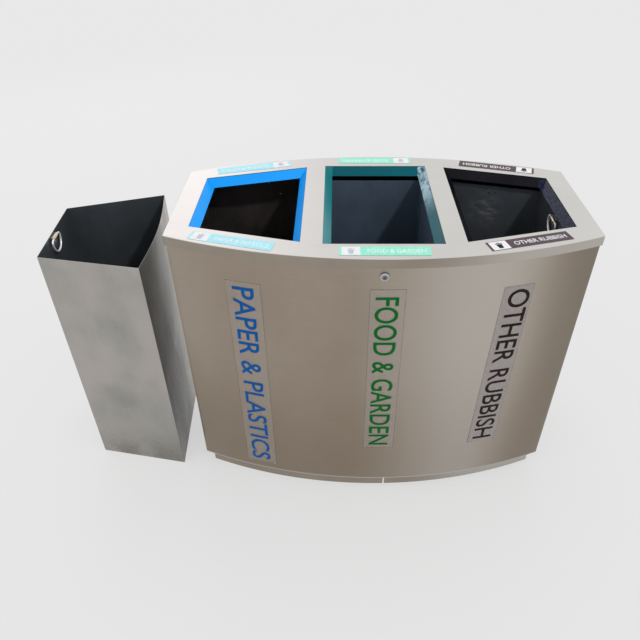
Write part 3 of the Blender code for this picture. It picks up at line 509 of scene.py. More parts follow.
def paint(name, colour, light, roughness, gloss, peel=0.12, blotch_reflection=None, chute_wall_light=None):
    """Glossy baked paint with a faint orange-peel surface; with painted reflection blotches or painted
    light on the chute walls where a colour is given.
    """
    coat = Finish(name, colour, roughness, Specular_IOR_Level=gloss, Coat_Weight=gloss * 0.6,
                  Coat_Roughness=0.06)
    drift = coat.noise(9.0, detail=3.0)
    shade = coat.blend(coat.band(drift, 0.35, 0.70) * 0.6, colour, light)
    if blotch_reflection:
        shade = painted_blotch_reflection(coat, shade, blotch_reflection)
    if chute_wall_light:
        shade = painted_chute_wall_light(coat, shade, chute_wall_light)
    coat.set("Base Color", shade)
    coat.set("Roughness", roughness + (coat.noise(60.0, detail=2.0) - 0.5) * 0.08)
    coat.set("Normal", coat.bump(coat.noise(260.0, detail=1.0), peel, 0.0006))
    return coat


def painted_blotch_reflection(coat, shade, colour):
    """Painted reflection: fine bright blotches on the right chute's outer wall."""
    outer_wall = coat.band(coat.axis("X"), 0.470, 0.474)
    patch = coat.noise(170.0, detail=4.0, roughness=0.7)
    return coat.blend(coat.band(patch, 0.44, 0.60) * outer_wall, shade, colour)


def painted_chute_wall_light(coat, shade, colour):
    """The middle chute's side walls: painted light on the left one, and a painted streaky reflection on the
    right one, pale to the back.
    """
    inner_face = 0.1275
    full = 0.1300
    left_wall = coat.band(coat.axis("X"), -inner_face, -full)
    # Painted light: the left wall lighter, a little paler to the front.
    shade = coat.blend(left_wall * 0.8, shade, (0.012, 0.160, 0.170))
    shade = coat.blend(left_wall * coat.band(coat.axis("Y"), 0.04, -0.15) * 0.09, shade, colour)
    # Painted reflection: pale streaks on the right wall towards the back.
    right_wall = coat.band(coat.axis("X"), inner_face, full) * coat.band(coat.axis("Y"), -0.07, 0.15)
    streak = coat.noise(1.0, detail=4.0, roughness=0.65, stretch=(60, 22, 60))
    return coat.blend(right_wall * coat.band(streak, 0.34, 0.58) * 0.8, shade, colour)


BLUE_PAINT = paint("blue_chute_paint", (0.002, 0.245, 0.70), (0.003, 0.275, 0.78), 0.30, gloss=0.10)
# The green chute's walls carry painted light and a painted reflection.
GREEN_PAINT = paint("green_chute_paint", (0.0, 0.068, 0.088), (0.0, 0.088, 0.110), 0.16, gloss=0.08,
                    peel=0.35, chute_wall_light=(0.42, 0.56, 0.66))
# The black chute's outer wall carries painted reflection blotches.
BLACK_PAINT = paint("black_chute_paint", (0.003, 0.003, 0.005), (0.005, 0.005, 0.009), 0.18,
                    gloss=0.07, peel=0.30, blotch_reflection=(0.019, 0.025, 0.072))


def print_ink(name, colour):
    """Printed vinyl or ink, very slightly uneven."""
    roughness = 0.42
    ink = Finish(name, colour, roughness, Specular_IOR_Level=0.08)
    worn = ink.noise(70.0, detail=4.0, roughness=0.7)
    lighter = tuple(min(1.0, part * 1.12 + 0.006) for part in colour)
    ink.set("Base Color", ink.blend(ink.band(worn, 0.35, 0.75), colour, lighter))
    ink.set("Roughness", roughness + (worn - 0.5) * 0.2)
    return ink


BLUE_LABEL = print_ink("cyan_label_vinyl", (0.41, 0.80, 0.90))
GREEN_LABEL = print_ink("mint_label_vinyl", (0.31, 0.84, 0.64))
GREY_LABEL = print_ink("grey_label_vinyl", (0.100, 0.072, 0.085))
WHITE_INK = print_ink("white_ink", (0.84, 0.84, 0.86))
BLUE_INK = print_ink("blue_ink", (0.0, 0.080, 0.290))
GREEN_INK = print_ink("green_ink", (0.0, 0.115, 0.016))
DARK_INK = print_ink("dark_ink", (0.014, 0.007, 0.007))
PALE_INK = print_ink("pale_ink", (0.56, 0.54, 0.66))


def clear_film(name, colour, cover, haze_share):
    """Clear adhesive film: mostly see-through, with a faint haze and a few trapped bubbles."""
    film = Finish(name, colour, 0.30, Specular_IOR_Level=0.25)
    bubble = film.noise(150.0, detail=1.0)
    haze = film.noise(11.0, detail=3.0)
    film.set("Alpha", cover + film.band(haze, 0.4, 0.7) * haze_share + film.band(bubble, 0.74, 0.78) * 0.1)
    film.set("Roughness", 0.24 + film.band(haze, 0.3, 0.7) * 0.14)
    film.material.surface_render_method = "DITHERED"
    return film


FILM = clear_film("clear_film", (0.55, 0.50, 0.455), 0.13, 0.06)
GREY_FILM = clear_film("grey_film", (0.46, 0.425, 0.41), 0.42, 0.05)
FILM_EDGE = clear_film("film_edge", (0.10, 0.09, 0.08), 0.30, 0.25)


def bare_metal(name, colour, roughness, tint=None, metallic=1.0):
    """Small bright fittings, with fine wear."""
    metal = Finish(name, colour, roughness, metallic=metallic)
    wear = metal.noise(260.0, detail=4.0, roughness=0.65)
    worn = tint or tuple(part * 0.72 for part in colour)
    metal.set("Base Color", metal.blend(metal.band(wear, 0.42, 0.70), colour, worn))
    metal.set("Roughness", roughness + metal.band(wear, 0.3, 0.7) * 0.14)
    metal.set("Normal", metal.bump(wear, 0.10, 0.0003))
    return metal


CHROME = bare_metal("lock_chrome", (0.50, 0.50, 0.52), 0.10)
LOCK_PLUG = bare_metal("lock_plug_steel", (0.20, 0.20, 0.21), 0.20)
WIRE_STEEL = bare_metal("bright_wire_steel", (0.88, 0.87, 0.88), 0.34, metallic=0.55)
ZINC = bare_metal("zinc_plate", (0.66, 0.62, 0.50), 0.28, tint=(0.50, 0.42, 0.24))


def buffer_rubber():
    """Black moulded rubber, a little dusty."""
    black = (0.018, 0.018, 0.019)
    rubber = Finish("buffer_rubber", black, 0.75)
    dust = rubber.band(rubber.noise(90.0, detail=4.0), 0.5, 0.8)
    rubber.set("Base Color", rubber.blend(dust, black, (0.07, 0.068, 0.065)))
    rubber.set("Normal", rubber.bump(rubber.noise(700.0), 0.2, 0.0002))
    return rubber


RUBBER = buffer_rubber()


# ------------------------------------------------------------------ handing pieces to the frame

def hand_over(obj, body, slot, *replaces):
    """Puts a finished piece on the body that it rides on and hides the nodes that it stands for; its slot
    is not used.
    """
    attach(obj, body)
    if replaces:
        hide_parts(*replaces)


def declare(obj, body, slot, finish, *replaces):
    """Gives a finished piece its material and hands it over."""
    obj.data.materials.clear()
    obj.data.materials.append(finish.material)
    hand_over(obj, body, slot, *replaces)


def two_sided(obj, thickness, finish, inside):
    """Gives a sheet its thickness inwards, with a second finish on the inner face."""
    obj.data.materials.clear()
    obj.data.materials.append(finish.material)
    obj.data.materials.append(inside.material)
    finish_modifier(obj, "SOLIDIFY", thickness=thickness, offset=-1.0, use_even_offset=True,
                    material_offset=1, material_offset_rim=0)


def paint_faces(obj, finish, test):
    """Gives the faces that pass the test another material."""
    obj.data.materials.append(finish.material)
    number = len(obj.data.materials) - 1
    for face in obj.data.polygons:
        if test(face):
            face.material_index = number


# ------------------------------------------------------------------ cabinet

def curved_panels():
    """Front and back: one curved sheet each, folded in along the top and bottom."""
    low, high = PANEL_LOW[2], PANEL_HIGH[2]
    half_width = PANEL_HIGH[0]
    for name, side, finish in (("front_panel", -1, FRONT_STEEL), ("back_panel", 1, PLAIN_STEEL)):
        panel = curved_wall(name + "_sheet", BODY_RADIUS, side, -half_width, half_width, low, high)
        edit(panel)
        fold_edge(panel, high, BODY_RADIUS, side, reach=0.008, bend=0.0012)
        fold_edge(panel, low, BODY_RADIUS, side, reach=0.014, bend=0.0024)
        leave()
        two_sided(panel, SHEET, finish, CABINET_INSIDE_SHADE)
        if name == "front_panel":
            cut(panel, lock_hole())
        ease_edges(panel, EASE)
        smooth(panel)
        hand_over(panel, "cabinet", "stainless_panel", name)


def lock_hole():
    """A bar through the front sheet where the lock sits."""
    body_low, body_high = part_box("lock_body")
    at = Vector((0, PANEL_LOW[1], (body_low[2] + body_high[2]) / 2))
    through = Vector((0, 0.02, 0))
    return bar("lock_hole", at - through, at + through, 0.0098)


def plinth():
    """The recessed foot under the front and the back."""
    sheet = 0.002
    for node, side, finish in (("plinth_front_left", -1, SKIRT_STEEL),
                               ("plinth_front_right", -1, SKIRT_STEEL), ("plinth_back", 1, PLAIN_STEEL)):
        low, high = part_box(node)
        wall = curved_wall(node + "_sheet", PLINTH_RADIUS, side, low[0], high[0], low[2], high[2])
        two_sided(wall, sheet, finish, CABINET_INSIDE_SHADE)
        ease_edges(wall, EASE)
        smooth(wall)
        hand_over(wall, "cabinet", "stainless_panel", node)


def softened(node, body, slot, finish, edge=EASE):
    """A plain folded or turned part: its solid with welded faces and rounded edges."""
    source = frame["nodes"][node]
    made = source.copy()
    made.data = source.data.copy()
    made.name = node + "_part"
    bpy.context.collection.objects.link(made)
    made.parent = None
    edit(made)
    bpy.ops.mesh.select_all(action="SELECT")
    bpy.ops.mesh.remove_doubles(threshold=TOUCH)
    bpy.ops.mesh.dissolve_limited(angle_limit=math.radians(0.5))
    leave()
    ease_edges(made, edge, angle=28)
    smooth(made, angle=32)
    declare(made, body, slot, finish, node)


def cabinet_sheets():
    """Ends, plinth ends, base and guides, joint strip and buffers."""
    for node in ("left_end_panel", "right_end_panel", "plinth_left_end", "plinth_right_end"):
        softened(node, "cabinet", "stainless_panel", PLAIN_STEEL)
    for node in ("base_pan", "liner_guide_left", "liner_guide_right", "plinth_cross_rail"):
        softened(node, "cabinet", "mill_steel", CABINET_INSIDE_SHADE)
    softened("plinth_joint_strip", "cabinet", "bright_wire", WIRE_STEEL, 0.0005)
    for place in ("front", "back"):
        for side in ("left", "right"):
            softened("lid_buffer_%s_%s" % (place, side), "cabinet", "buffer_rubber", RUBBER, 0.0006)


# ------------------------------------------------------------------ lid and chutes

def opening_tool(side, low, high, grow=0.0):
    """A block with the plan of one opening, its sides moved out by the growth."""
    if side == "middle":
        width, depth = MIDDLE_OPENING
        return block("opening", (-width - grow, -depth - grow, low), (width + grow, depth + grow, high))
    inner, inner_depth, outer, outer_depth = SIDE_OPENING
    slope = (outer_depth - inner_depth) / (outer - inner)
    out = grow * math.sqrt(1 + slope * slope)
    return wedge("opening", side, inner - grow, inner_depth + out - slope * grow,
                 outer + grow, outer_depth + out + slope * grow, low, high)


def wedge(name, side, inner, inner_depth, outer, outer_depth, low, high):
    """A block on the left or right side that narrows from its inner to its outer end."""
    sign = -1 if side == "left" else 1
    far_x = sign * outer
    near, far = sorted((sign * inner, far_x))
    made = block(name, (near, -inner_depth, low), (far, inner_depth, high))
    edit(made)
    pick(made, "FACE", lambda f: abs(f.calc_center_median().x - far_x) < TOUCH)
    bpy.ops.transform.resize(value=(1, outer_depth / inner_depth, 1), center_override=(far_x, 0, 0))
    leave()
    return made


def lens_cap(name, radius, half_width, low, high):
    """A lens-shaped cap, open underneath: a round slab cut to the front half, then mirrored."""
    bpy.ops.mesh.primitive_cylinder_add(vertices=ARC_VERTICES, radius=radius, depth=high - low,
                                        location=(0, ARC_CENTRE, (low + high) / 2))
    cap = bpy.context.object
    cap.name = name
    settle(cap)
    edit(cap)
    for end in (-1, 1):
        trim((end * half_width, 0, 0), (end, 0, 0), fill=True)
    trim((0, 0, 0), (0, 1, 0))
    leave()
    finish_modifier(cap, "MIRROR", use_axis=(False, True, False), use_mirror_merge=True,
                    merge_threshold=0.00002)
    edit(cap)
    pick(cap, "FACE", lambda f: f.normal.z < -0.9)
    bpy.ops.mesh.delete(type="FACE")
    bpy.ops.mesh.select_all(action="SELECT")
    bpy.ops.mesh.dissolve_limited(angle_limit=math.radians(0.05))
    leave()
    return cap


def lid():
    """One folded sheet with a rounded edge, three openings and a skirt."""
    low, high = LID_LOW[2], LID_HIGH[2]
    shell = lens_cap("lid_sheet", LID_RADIUS, LID_HIGH[0], low, high)
    steep = 1.0                             # least angles of the folds, in radians
    slight = 0.5

    def on_rim(edge):
        level = all(abs(vert.co.z - high) < TOUCH for vert in edge.verts)
        return level and edge.calc_face_angle(0) > steep

    def on_corner(edge):
        return rise(edge) > SHEET and edge.calc_face_angle(0) > slight

    edit(shell)
    pick(shell, "EDGE", lambda e: on_rim(e) or on_corner(e))
    bpy.ops.mesh.bevel(offset=0.0022, segments=5)
    leave()
    two_sided(shell, SHEET, LID_STEEL, CABINET_INSIDE_SHADE)
    for side in COMPARTMENTS:
        cut(shell, opening_tool(side, high - 0.01, high + 0.01))
    ease_edges(shell, EASE)
    smooth(shell, weighted=True)
    paint_lid_sides(shell, high - SHEET)
    hand_over(shell, "lid", "stainless_lid", "lid_shell")


def paint_lid_sides(shell, under):
    """The skirt gets its own steel, and the cut edges of the openings get a painted shadow line."""
    slack = 0.0002
    from_rim = 0.010

    def on_skirt(face):
        return abs(face.normal.z) < 0.5 and face.center.z < under - slack and face.material_index == 0

    def on_cut_edge(face):
        x, y, z = face.center
        inside = abs(x) < SIDE_OPENING[2] + 0.002 and abs(y) < half_depth(x, LID_RADIUS) - from_rim
        return abs(face.normal.z) < 0.5 and z > under - slack and inside

    paint_faces(shell, SKIRT_STEEL, on_skirt)
    paint_faces(shell, OPENING_SHADOW_LINE, on_cut_edge)


def chutes():
    """A flange under the lid, then four mitred walls that slope in towards the liner."""
    flange = 0.014
    reach = 0.021
    for side, finish, slot in (("left", BLUE_PAINT, "blue_paint"), ("middle", GREEN_PAINT, "green_paint"),
                               ("right", BLACK_PAINT, "black_paint")):
        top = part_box("chute_" + side)[1][2]
        chute = opening_tool(side, top - 0.01, top, grow=flange)
        chute.name = "chute_walls_" + side
        edit(chute)
        pick(chute, "FACE", lambda f: f.normal.z < 0.9)
        bpy.ops.mesh.delete(type="FACE")
        bpy.ops.mesh.select_mode(type="FACE")
        bpy.ops.mesh.select_all(action="SELECT")
        bpy.ops.mesh.inset(thickness=flange)
        bpy.ops.mesh.inset(thickness=reach, depth=-reach)
        bpy.ops.mesh.delete(type="FACE")
        leave()
        finish_modifier(chute, "SOLIDIFY", thickness=CHUTE_SHEET, offset=-1.0, use_even_offset=True)
        ease_edges(chute, 0.0005)
        smooth(chute, weighted=True)
        declare(chute, "lid", slot, finish, "chute_" + side)


def cap_nut(name):
    """A domed hexagon nut, seat at zero, dome downwards."""
    hexagon = 0.0026
    tip = 0.0056
    sunk = 0.0004
    nut = bar(name, (0, 0, -hexagon), (0, 0, 0), 0.0046, sides=6)
    ease_edges(nut, EASE)
    dome = bar(name + "_dome", (0, 0, -tip), (0, 0, sunk - hexagon), 0.0036, sides=32)
    edit(dome)
    pick(dome, "EDGE", lambda e: all(vert.co.z < TOUCH - tip for vert in e.verts))
    bpy.ops.mesh.bevel(offset=0.0026, segments=6)
    leave()
    finish_modifier(nut, "BOOLEAN", operation="UNION", solver="EXACT", object=dome)
    bpy.data.objects.remove(dome, do_unlink=True)
    smooth(nut)
    return nut


def chute_nuts():
    """Four cap nuts hold each chute's flange to studs under the lid."""
    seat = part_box("chute_middle")[1][2] - CHUTE_SHEET
    out = 0.007                             # past the opening's edge
    share = 0.8                             # of the opening's half depth
    pattern = cap_nut("cap_nut")
    inner, inner_depth, outer, outer_depth = SIDE_OPENING
    width, depth = MIDDLE_OPENING
    places = {"middle": [(-width - out, depth * share), (width + out, depth * share)],
              "right": [(inner - out, inner_depth * share), (outer + out, outer_depth * share)],
              "left": [(out - inner, inner_depth * share), (-outer - out, outer_depth * share)]}
    for side, corners in places.items():
        for number, (x, y) in enumerate(corners + [(x, -y) for x, y in corners], start=1):
            nut = copy_piece(pattern, "chute_nut_%s_%d" % (side, number), Matrix.Translation((x, y, seat)))
            declare(nut, "lid", "zinc_fitting", ZINC)
    bpy.data.objects.remove(pattern, do_unlink=True)


# ------------------------------------------------------------------ labels, films and words

def words(name, text, length, height, thickness):
    """Plain block lettering as a thin mesh, centred, along +X with its tops towards +Y."""
    bpy.ops.object.text_add()
    made = bpy.context.object
    made.name = name
    made.data.body = text
    made.data.extrude = 0.5
    made.data.resolution_u = 6
    made.data.offset = 0.010                # a little bolder
    bpy.ops.object.convert(target="MESH")
    mesh = made.data
    lows = [min(v.co[axis] for v in mesh.vertices) for axis in range(3)]
    highs = [max(v.co[axis] for v in mesh.vertices) for axis in range(3)]
    sizes = (length, height, thickness)
    scale = [size / (high - low) for size, low, high in zip(sizes, lows, highs)]
    centre = [(low + high) / 2 for low, high in zip(lows, highs)]
    mesh.transform(Matrix.Diagonal((*scale, 1)) @ Matrix.Translation([-part for part in centre]))
    edit(made)
    bpy.ops.mesh.select_all(action="SELECT")
    bpy.ops.mesh.remove_doubles(threshold=0.000002)
    leave()
    return made


LABEL_LENGTH = 0.220
LABEL_DEPTH = 0.040
PICTURE_BOX = 0.045
# Heights over the lid's top: each layer lies just over the one below it.
PLATE_LOW, PLATE_HIGH = 0.00030, 0.00045
BOX_LOW, BOX_HIGH = 0.00046, 0.00052
PICTURE_LOW = 0.00053
WORDS_MIDDLE = 0.00050


def lid_labels():
    """Printed labels with a white picture box and the waste name, read from the front or the back."""
    slant = math.radians(15.5)
    for side, turn, text, finish, slot, ink in (
            ("left", -slant, "PAPER & PLASTICS", BLUE_LABEL, "blue_label", PALE_INK),
            ("middle", 0.0, "FOOD & GARDEN", GREEN_LABEL, "green_label", PALE_INK),
            ("right", slant, "OTHER RUBBISH", GREY_LABEL, "grey_label", DARK_INK)):
        for end in ("front", "back"):
            node = "label_%s_%s" % (side, end)
            low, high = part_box(node)
            middle = ((low[0] + high[0]) / 2, (low[1] + high[1]) / 2, LID_HIGH[2])
            facing = turn if end == "front" else math.pi - turn
            place = Matrix.Translation(middle) @ Matrix.Rotation(facing, 4, "Z")
            plate = label_plate(node + "_plate")
            plate.data.transform(place)
            declare(plate, "lid", slot, finish, node)
            for piece, colour in label_print(node, text, ink):
                piece.data.transform(place)
                declare(piece, "lid", slot, colour)


def label_plate(name):
    """The label's vinyl, with rounded corners."""
    half = Vector((LABEL_LENGTH / 2, LABEL_DEPTH / 2))
    plate = block(name, (*-half, PLATE_LOW), (*half, PLATE_HIGH))
    edit(plate)
    pick(plate, "EDGE", lambda e: rise(e) > TOUCH)
    bpy.ops.mesh.bevel(offset=0.0015, segments=3)
    leave()
    return plate


def label_print(node, text, ink):
    """What is printed on a label: picture box, picture and words, each with its ink."""
    left = 0.006 - LABEL_LENGTH / 2
    deep = 0.0185
    square = block(node + "_picture_box", (left, -deep, BOX_LOW), (left + PICTURE_BOX, deep, BOX_HIGH))
    picture = bin_picture(node + "_picture")
    picture.data.transform(Matrix.Translation((left + PICTURE_BOX / 2, 0, PICTURE_LOW)))
    name = words(node + "_words", text, length=0.140, height=0.0165, thickness=0.00006)
    name.data.transform(Matrix.Translation((0.028, 0, WORDS_MIDDLE)))
    return (square, WHITE_INK), (picture, ink), (name, WHITE_INK)


def bin_picture(name):
    """A plain picture of a bin: tapered bucket, lid bar and knob, as one thin flat shape."""
    thick = 0.00005
    foot = -0.0130
    bucket = block(name, (-0.0075, foot, 0), (0.0075, 0.0050, thick))
    edit(bucket)
    pick(bucket, "FACE", lambda f: f.normal.y < -0.9)
    bpy.ops.transform.resize(value=(0.72, 1, 1), center_override=(0, foot, 0))
    leave()
    cover = block(name + "_bar", (-0.0095, 0.0066, 0), (0.0095, 0.0092, thick))
    knob = block(name + "_knob", (-0.0028, 0.0104, 0), (0.0028, 0.0128, thick))
    wake(bucket)
    for part in (cover, knob):
        part.select_set(True)
    bpy.ops.object.join()
    return bucket


FILM_LIFT = 0.0004                          # height of the films over the front sheet
WORDS_LIFT = 0.00066


def onto_front(mesh, lift):
    """Wraps a flat mesh in XY (X along the arc, Y up, Z outwards) onto the curved front."""
    for vert in mesh.vertices:
        along, up, out = vert.co
        radius = BODY_RADIUS + lift + out
        turn = along / BODY_RADIUS
        vert.co = (radius * math.sin(turn), ARC_CENTRE - radius * math.cos(turn), up)


def front_films():
    """Clear films with the waste names reading downwards. Places are measured along the arc.

    The letters are scored into narrow strips, so that they follow the curve.
    """
    height = 0.060
    strip = 0.006
    for side, text, top, bottom, high, low, middle, length, tilt, film, ink in (
            ("left", "PAPER & PLASTICS", (-0.404, -0.308), (-0.404, -0.308), 0.772, 0.078,
             (-0.357, 0.4245), 0.663, 0.0, FILM, BLUE_INK),
            ("middle", "FOOD & GARDEN", (-0.034, 0.056), (-0.034, 0.056), 0.780, 0.200,
             (0.010, 0.4850), 0.544, 0.0, FILM, GREEN_INK),
            ("right", "OTHER RUBBISH", (0.306, 0.389), (0.287, 0.377), 0.765, 0.190,
             (0.3425, 0.4775), 0.551, 0.036, GREY_FILM, DARK_INK)):
        node = "film_" + side
        sheet = film_sheet(node + "_sheet", film, top, bottom, high, low)
        hand_over(sheet, "cabinet", "clear_film", node)

        name = words(node + "_words", text, length, height, 0.0001)
        downwards = Matrix.Rotation(-math.pi / 2 - tilt, 4, "Z")
        name.data.transform(Matrix.Translation((*middle, 0)) @ downwards)
        edit(name)
        for step in range(-8, 9):
            score((middle[0] + step * strip, 0, 0), (1, 0, 0))
        leave()
        onto_front(name.data, WORDS_LIFT)
        declare(name, "cabinet", "clear_film", ink)


def film_sheet(name, film, top, bottom, high, low):
    """A thin sheet with a dark rim, made square, then led to its four corners on the curved front."""
    bpy.ops.mesh.primitive_grid_add(x_subdivisions=16, y_subdivisions=2, size=1)
    sheet = bpy.context.object
    sheet.name = name
    width = top[1] - top[0]
    height = high - low
    edit(sheet)
    bpy.ops.mesh.select_all(action="SELECT")
    bpy.ops.transform.resize(value=(width, height, 1))
    bpy.ops.mesh.inset(thickness=0.0007)
    leave()
    sheet.data.materials.append(film.material)
    sheet.data.materials.append(FILM_EDGE.material)
    for face in sheet.data.polygons:
        face.material_index = 0 if face.select else 1
    for vert in sheet.data.vertices:
        along = vert.co.x / width + 0.5
        up = vert.co.y / height + 0.5
        start = bottom[0] + (top[0] - bottom[0]) * up
        end = bottom[1] + (top[1] - bottom[1]) * up
        vert.co = (start + (end - start) * along, low + height * up, 0)
    onto_front(sheet.data, FILM_LIFT)
    finish_modifier(sheet, "SOLIDIFY", thickness=0.00015, offset=1.0)
    smooth(sheet)
    return sheet


# ------------------------------------------------------------------ liners and rings

def liner(side):
    """A folded open box of thin sheet with rounded folds."""
    node = "liner_" + side
    box_low, box_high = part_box(node)
    low, high = box_low[2], box_high[2]
    if side == "middle":
        width, depth = LINER_MIDDLE
        tub = block(node + "_tub", (-width, -depth, low), (width, depth, high))
    else:
        tub = wedge(node + "_tub", side, *LINER_SIDE, low, high)
    edit(tub)
    pick(tub, "FACE", lambda f: f.normal.z > 0.9)
    bpy.ops.mesh.delete(type="FACE")
    pick(tub, "EDGE", lambda e: rise(e) > TOUCH or not e.is_boundary)
    bpy.ops.mesh.bevel(offset=0.0025, segments=4)
    leave()
    if side == "left":
        bow_wall(tub, high)
        tub.data.transform(LIFTED_MOVE)
    two_sided(tub, LINER_SHEET, LINER_OUTSIDE, MIDDLE_INSIDE_LIT if side == "middle" else LINER_INSIDE)
    if side == "right":
        spare_holes(tub, high)
    ease_edges(tub, 0.0003)
    smooth(tub, weighted=True)
    hand_over(tub, node, "mill_steel", node)


def bow_wall(tub, high):
    """Bows the wall nearest the middle outwards, most at the middle of its rim and not at the floor."""
    inner, inner_depth = LINER_SIDE[:2]
    columns = 24
    rows = 10
    edit(tub)
    for step in range(1, columns):
        score((0, (2 * step / columns - 1) * inner_depth, 0), (0, 1, 0))
    for step in range(1, rows):
        score((0, 0, high * step / rows), (0, 0, 1))
    leave()
    for vert in tub.data.vertices:
        x, y, z = vert.co
        on_wall = max(0.0, 1 - (abs(x) - inner) / 0.004)
        if on_wall > 0:
            arch = max(0.0, math.sin(math.pi * (y + inner_depth) / (2 * inner_depth)))
            vert.co.x += LINER_BOW * z / high * arch * on_wall


def spare_holes(tub, high):
    """Three unused rivet holes near the rim of the right liner's back wall."""
    inner, inner_depth, outer, outer_depth = LINER_SIDE
    start = Vector((inner, inner_depth))
    way = (Vector((outer, outer_depth)) - start).normalized()
    through = Vector((-way.y, way.x)) * 0.01
    for along, drop in ((0.130, 0.012), (0.140, 0.024), (0.158, 0.021)):
        at = start + way * along
        level = high - drop
        cut(tub, bar("spare_hole", (*(at - through), level), (*(at + through), level), 0.0025, sides=20))


WIRE = 0.0030                               # radius of a ring's wire
RING_HALF = 0.031
RING_DROP = 0.042
RING_CORNER = 0.009
BAR_FROM_WALL = 0.0075
BAR_BELOW_RIM = 0.011


def ring_place(side):
    """Where a ring's bar lies: X along the bar, Y into the liner, Z up."""
    if side == "middle":
        inward = Vector((0, 1, 0))
        wall = Vector((0, LINER_SHEET - LINER_MIDDLE[1], 0))
    else:
        sign = -1 if side == "left" else 1
        inward = Vector((-sign, 0, 0))
        wall = Vector((sign * (LINER_SIDE[2] - LINER_SHEET), -0.012, 0))
    at = wall + inward * BAR_FROM_WALL
    at.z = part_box("liner_" + side)[1][2] - BAR_BELOW_RIM
    along = Vector((inward.y, -inward.x, 0))
    place = Matrix((along, inward, (0, 0, 1))).transposed().to_4x4()
    place.translation = at
    return LIFTED_MOVE @ place if side == "left" else place


def ring_outline():
    """Half of an ellipse hanging under a straight bar, with two rounded corners."""
    straight = RING_HALF - RING_CORNER
    corner = []
    for step in range(12):
        turn = math.pi / 2 * step / 12
        corner.append((straight + RING_CORNER * math.sin(turn), RING_CORNER * (math.cos(turn) - 1)))
    bow = []
    for step in range(41):
        turn = math.pi * step / 40
        bow.append((RING_HALF * math.cos(turn), -RING_CORNER - (RING_DROP - RING_CORNER) * math.sin(turn)))
    return corner + bow + [(-x, z) for x, z in reversed(corner)]


def lifting_ring(side, place):
    """The D-shaped wire ring."""
    curve = bpy.data.curves.new("lifting_ring", "CURVE")
    curve.dimensions = "3D"
    curve.bevel_depth = WIRE
    curve.bevel_resolution = 6
    spline = curve.splines.new("POLY")
    outline = ring_outline()
    spline.points.add(len(outline) - 1)
    for point, (x, z) in zip(spline.points, outline):
        point.co = (x, 0, z, 1)
    spline.use_cyclic_u = True
    ring = bpy.data.objects.new("lifting_ring_%s_wire" % side, curve)
    bpy.context.collection.objects.link(ring)
    wake(ring)
    bpy.ops.object.convert(target="MESH")
    ring = bpy.context.object
    ring.data.transform(place)
    wake(ring)
    bpy.ops.object.shade_smooth()
    declare(ring, "lifting_ring_" + side, "bright_wire", WIRE_STEEL, "lifting_ring_" + side)


def ring_and_bracket(side):
    """A ring on a curled bracket, with two rivets and their tails outside the liner."""
    place = ring_place(side)
    body = "liner_" + side
    lifting_ring(side, place)
    softened("ring_bracket_" + side, body, "zinc_fitting", ZINC, 0.0003)
    for number, along in enumerate((-0.012, 0.012), start=1):
        name = "ring_rivet_%s_%d" % (side, number)
        for rivet_name, seat, quarter in ((name, -0.0054, -1), (name + "_tail", -0.0088, 1)):
            turn = Matrix.Rotation(quarter * math.pi / 2, 4, "X")
            rivet = button_rivet(rivet_name)
            rivet.data.transform(place @ Matrix.Translation((along, seat, -0.0145)) @ turn)
            declare(rivet, body, "zinc_fitting", ZINC)


def button_rivet(name):
    """A low round head on a short shank, head upwards along +Z, seat at zero."""
    radius = 0.0030
    height = 0.0010
    shank = 0.0014                          # both its radius and its length
    rivet = bar(name, (0, 0, -shank), (0, 0, height), radius, sides=24)
    edit(rivet)
    pick(rivet, "FACE", lambda f: f.normal.z < -0.9)
    bpy.ops.mesh.inset(thickness=radius - shank)
    pick(rivet, "EDGE", lambda e: all(vert.co.z > height - TOUCH for vert in e.verts))
    bpy.ops.mesh.bevel(offset=height * 0.8, segments=4)
    leave()
    for vert in rivet.data.vertices:
        if vert.co.z < -TOUCH and vert.co.xy.length > radius * 0.55:
            vert.co.z = 0.0
    smooth(rivet)
    return rivet


# ------------------------------------------------------------------ lock and hinges

def lock():
    """The lock: bezel and barrel, plug, nut, cam and the cam's bolt."""
    lock_bezel()
    lock_plug()
    softened("lock_nut", "cabinet", "zinc_fitting", ZINC)
    softened("lock_cam", "lock_plug", "zinc_fitting", ZINC)
    softened("lock_cam_bolt", "lock_plug", "zinc_fitting", ZINC)


def lock_bezel():
    """A domed ring in front of the sheet, with the barrel behind it and a bore for the plug."""
    low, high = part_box("lock_body")
    face, tail = low[1], high[1]
    level = (low[2] + high[2]) / 2
    radius = (high[0] - low[0]) / 2
    barrel = 0.0095
    seat = PANEL_LOW[1] - 0.0004
    bezel = bar("lock_bezel", (0, face, level), (0, seat, level), radius, sides=64)
    edit(bezel)
    pick(bezel, "EDGE", lambda e: all(vert.co.y < face + TOUCH for vert in e.verts))
    bpy.ops.mesh.bevel(offset=0.0028, segments=6)
    pick(bezel, "FACE", lambda f: f.normal.y > 0.9)
    bpy.ops.mesh.inset(thickness=radius - barrel)
    bpy.ops.mesh.extrude_region_move(TRANSFORM_OT_translate={"value": (0, tail - seat, 0)})
    leave()
    cut(bezel, bar("bore", (0, face - 0.01, level), (0, tail + 0.01, level), 0.0063, sides=48))
    ease_edges(bezel, 0.0003)
    smooth(bezel)
    declare(bezel, "cabinet", "lock_chrome", CHROME, "lock_body")


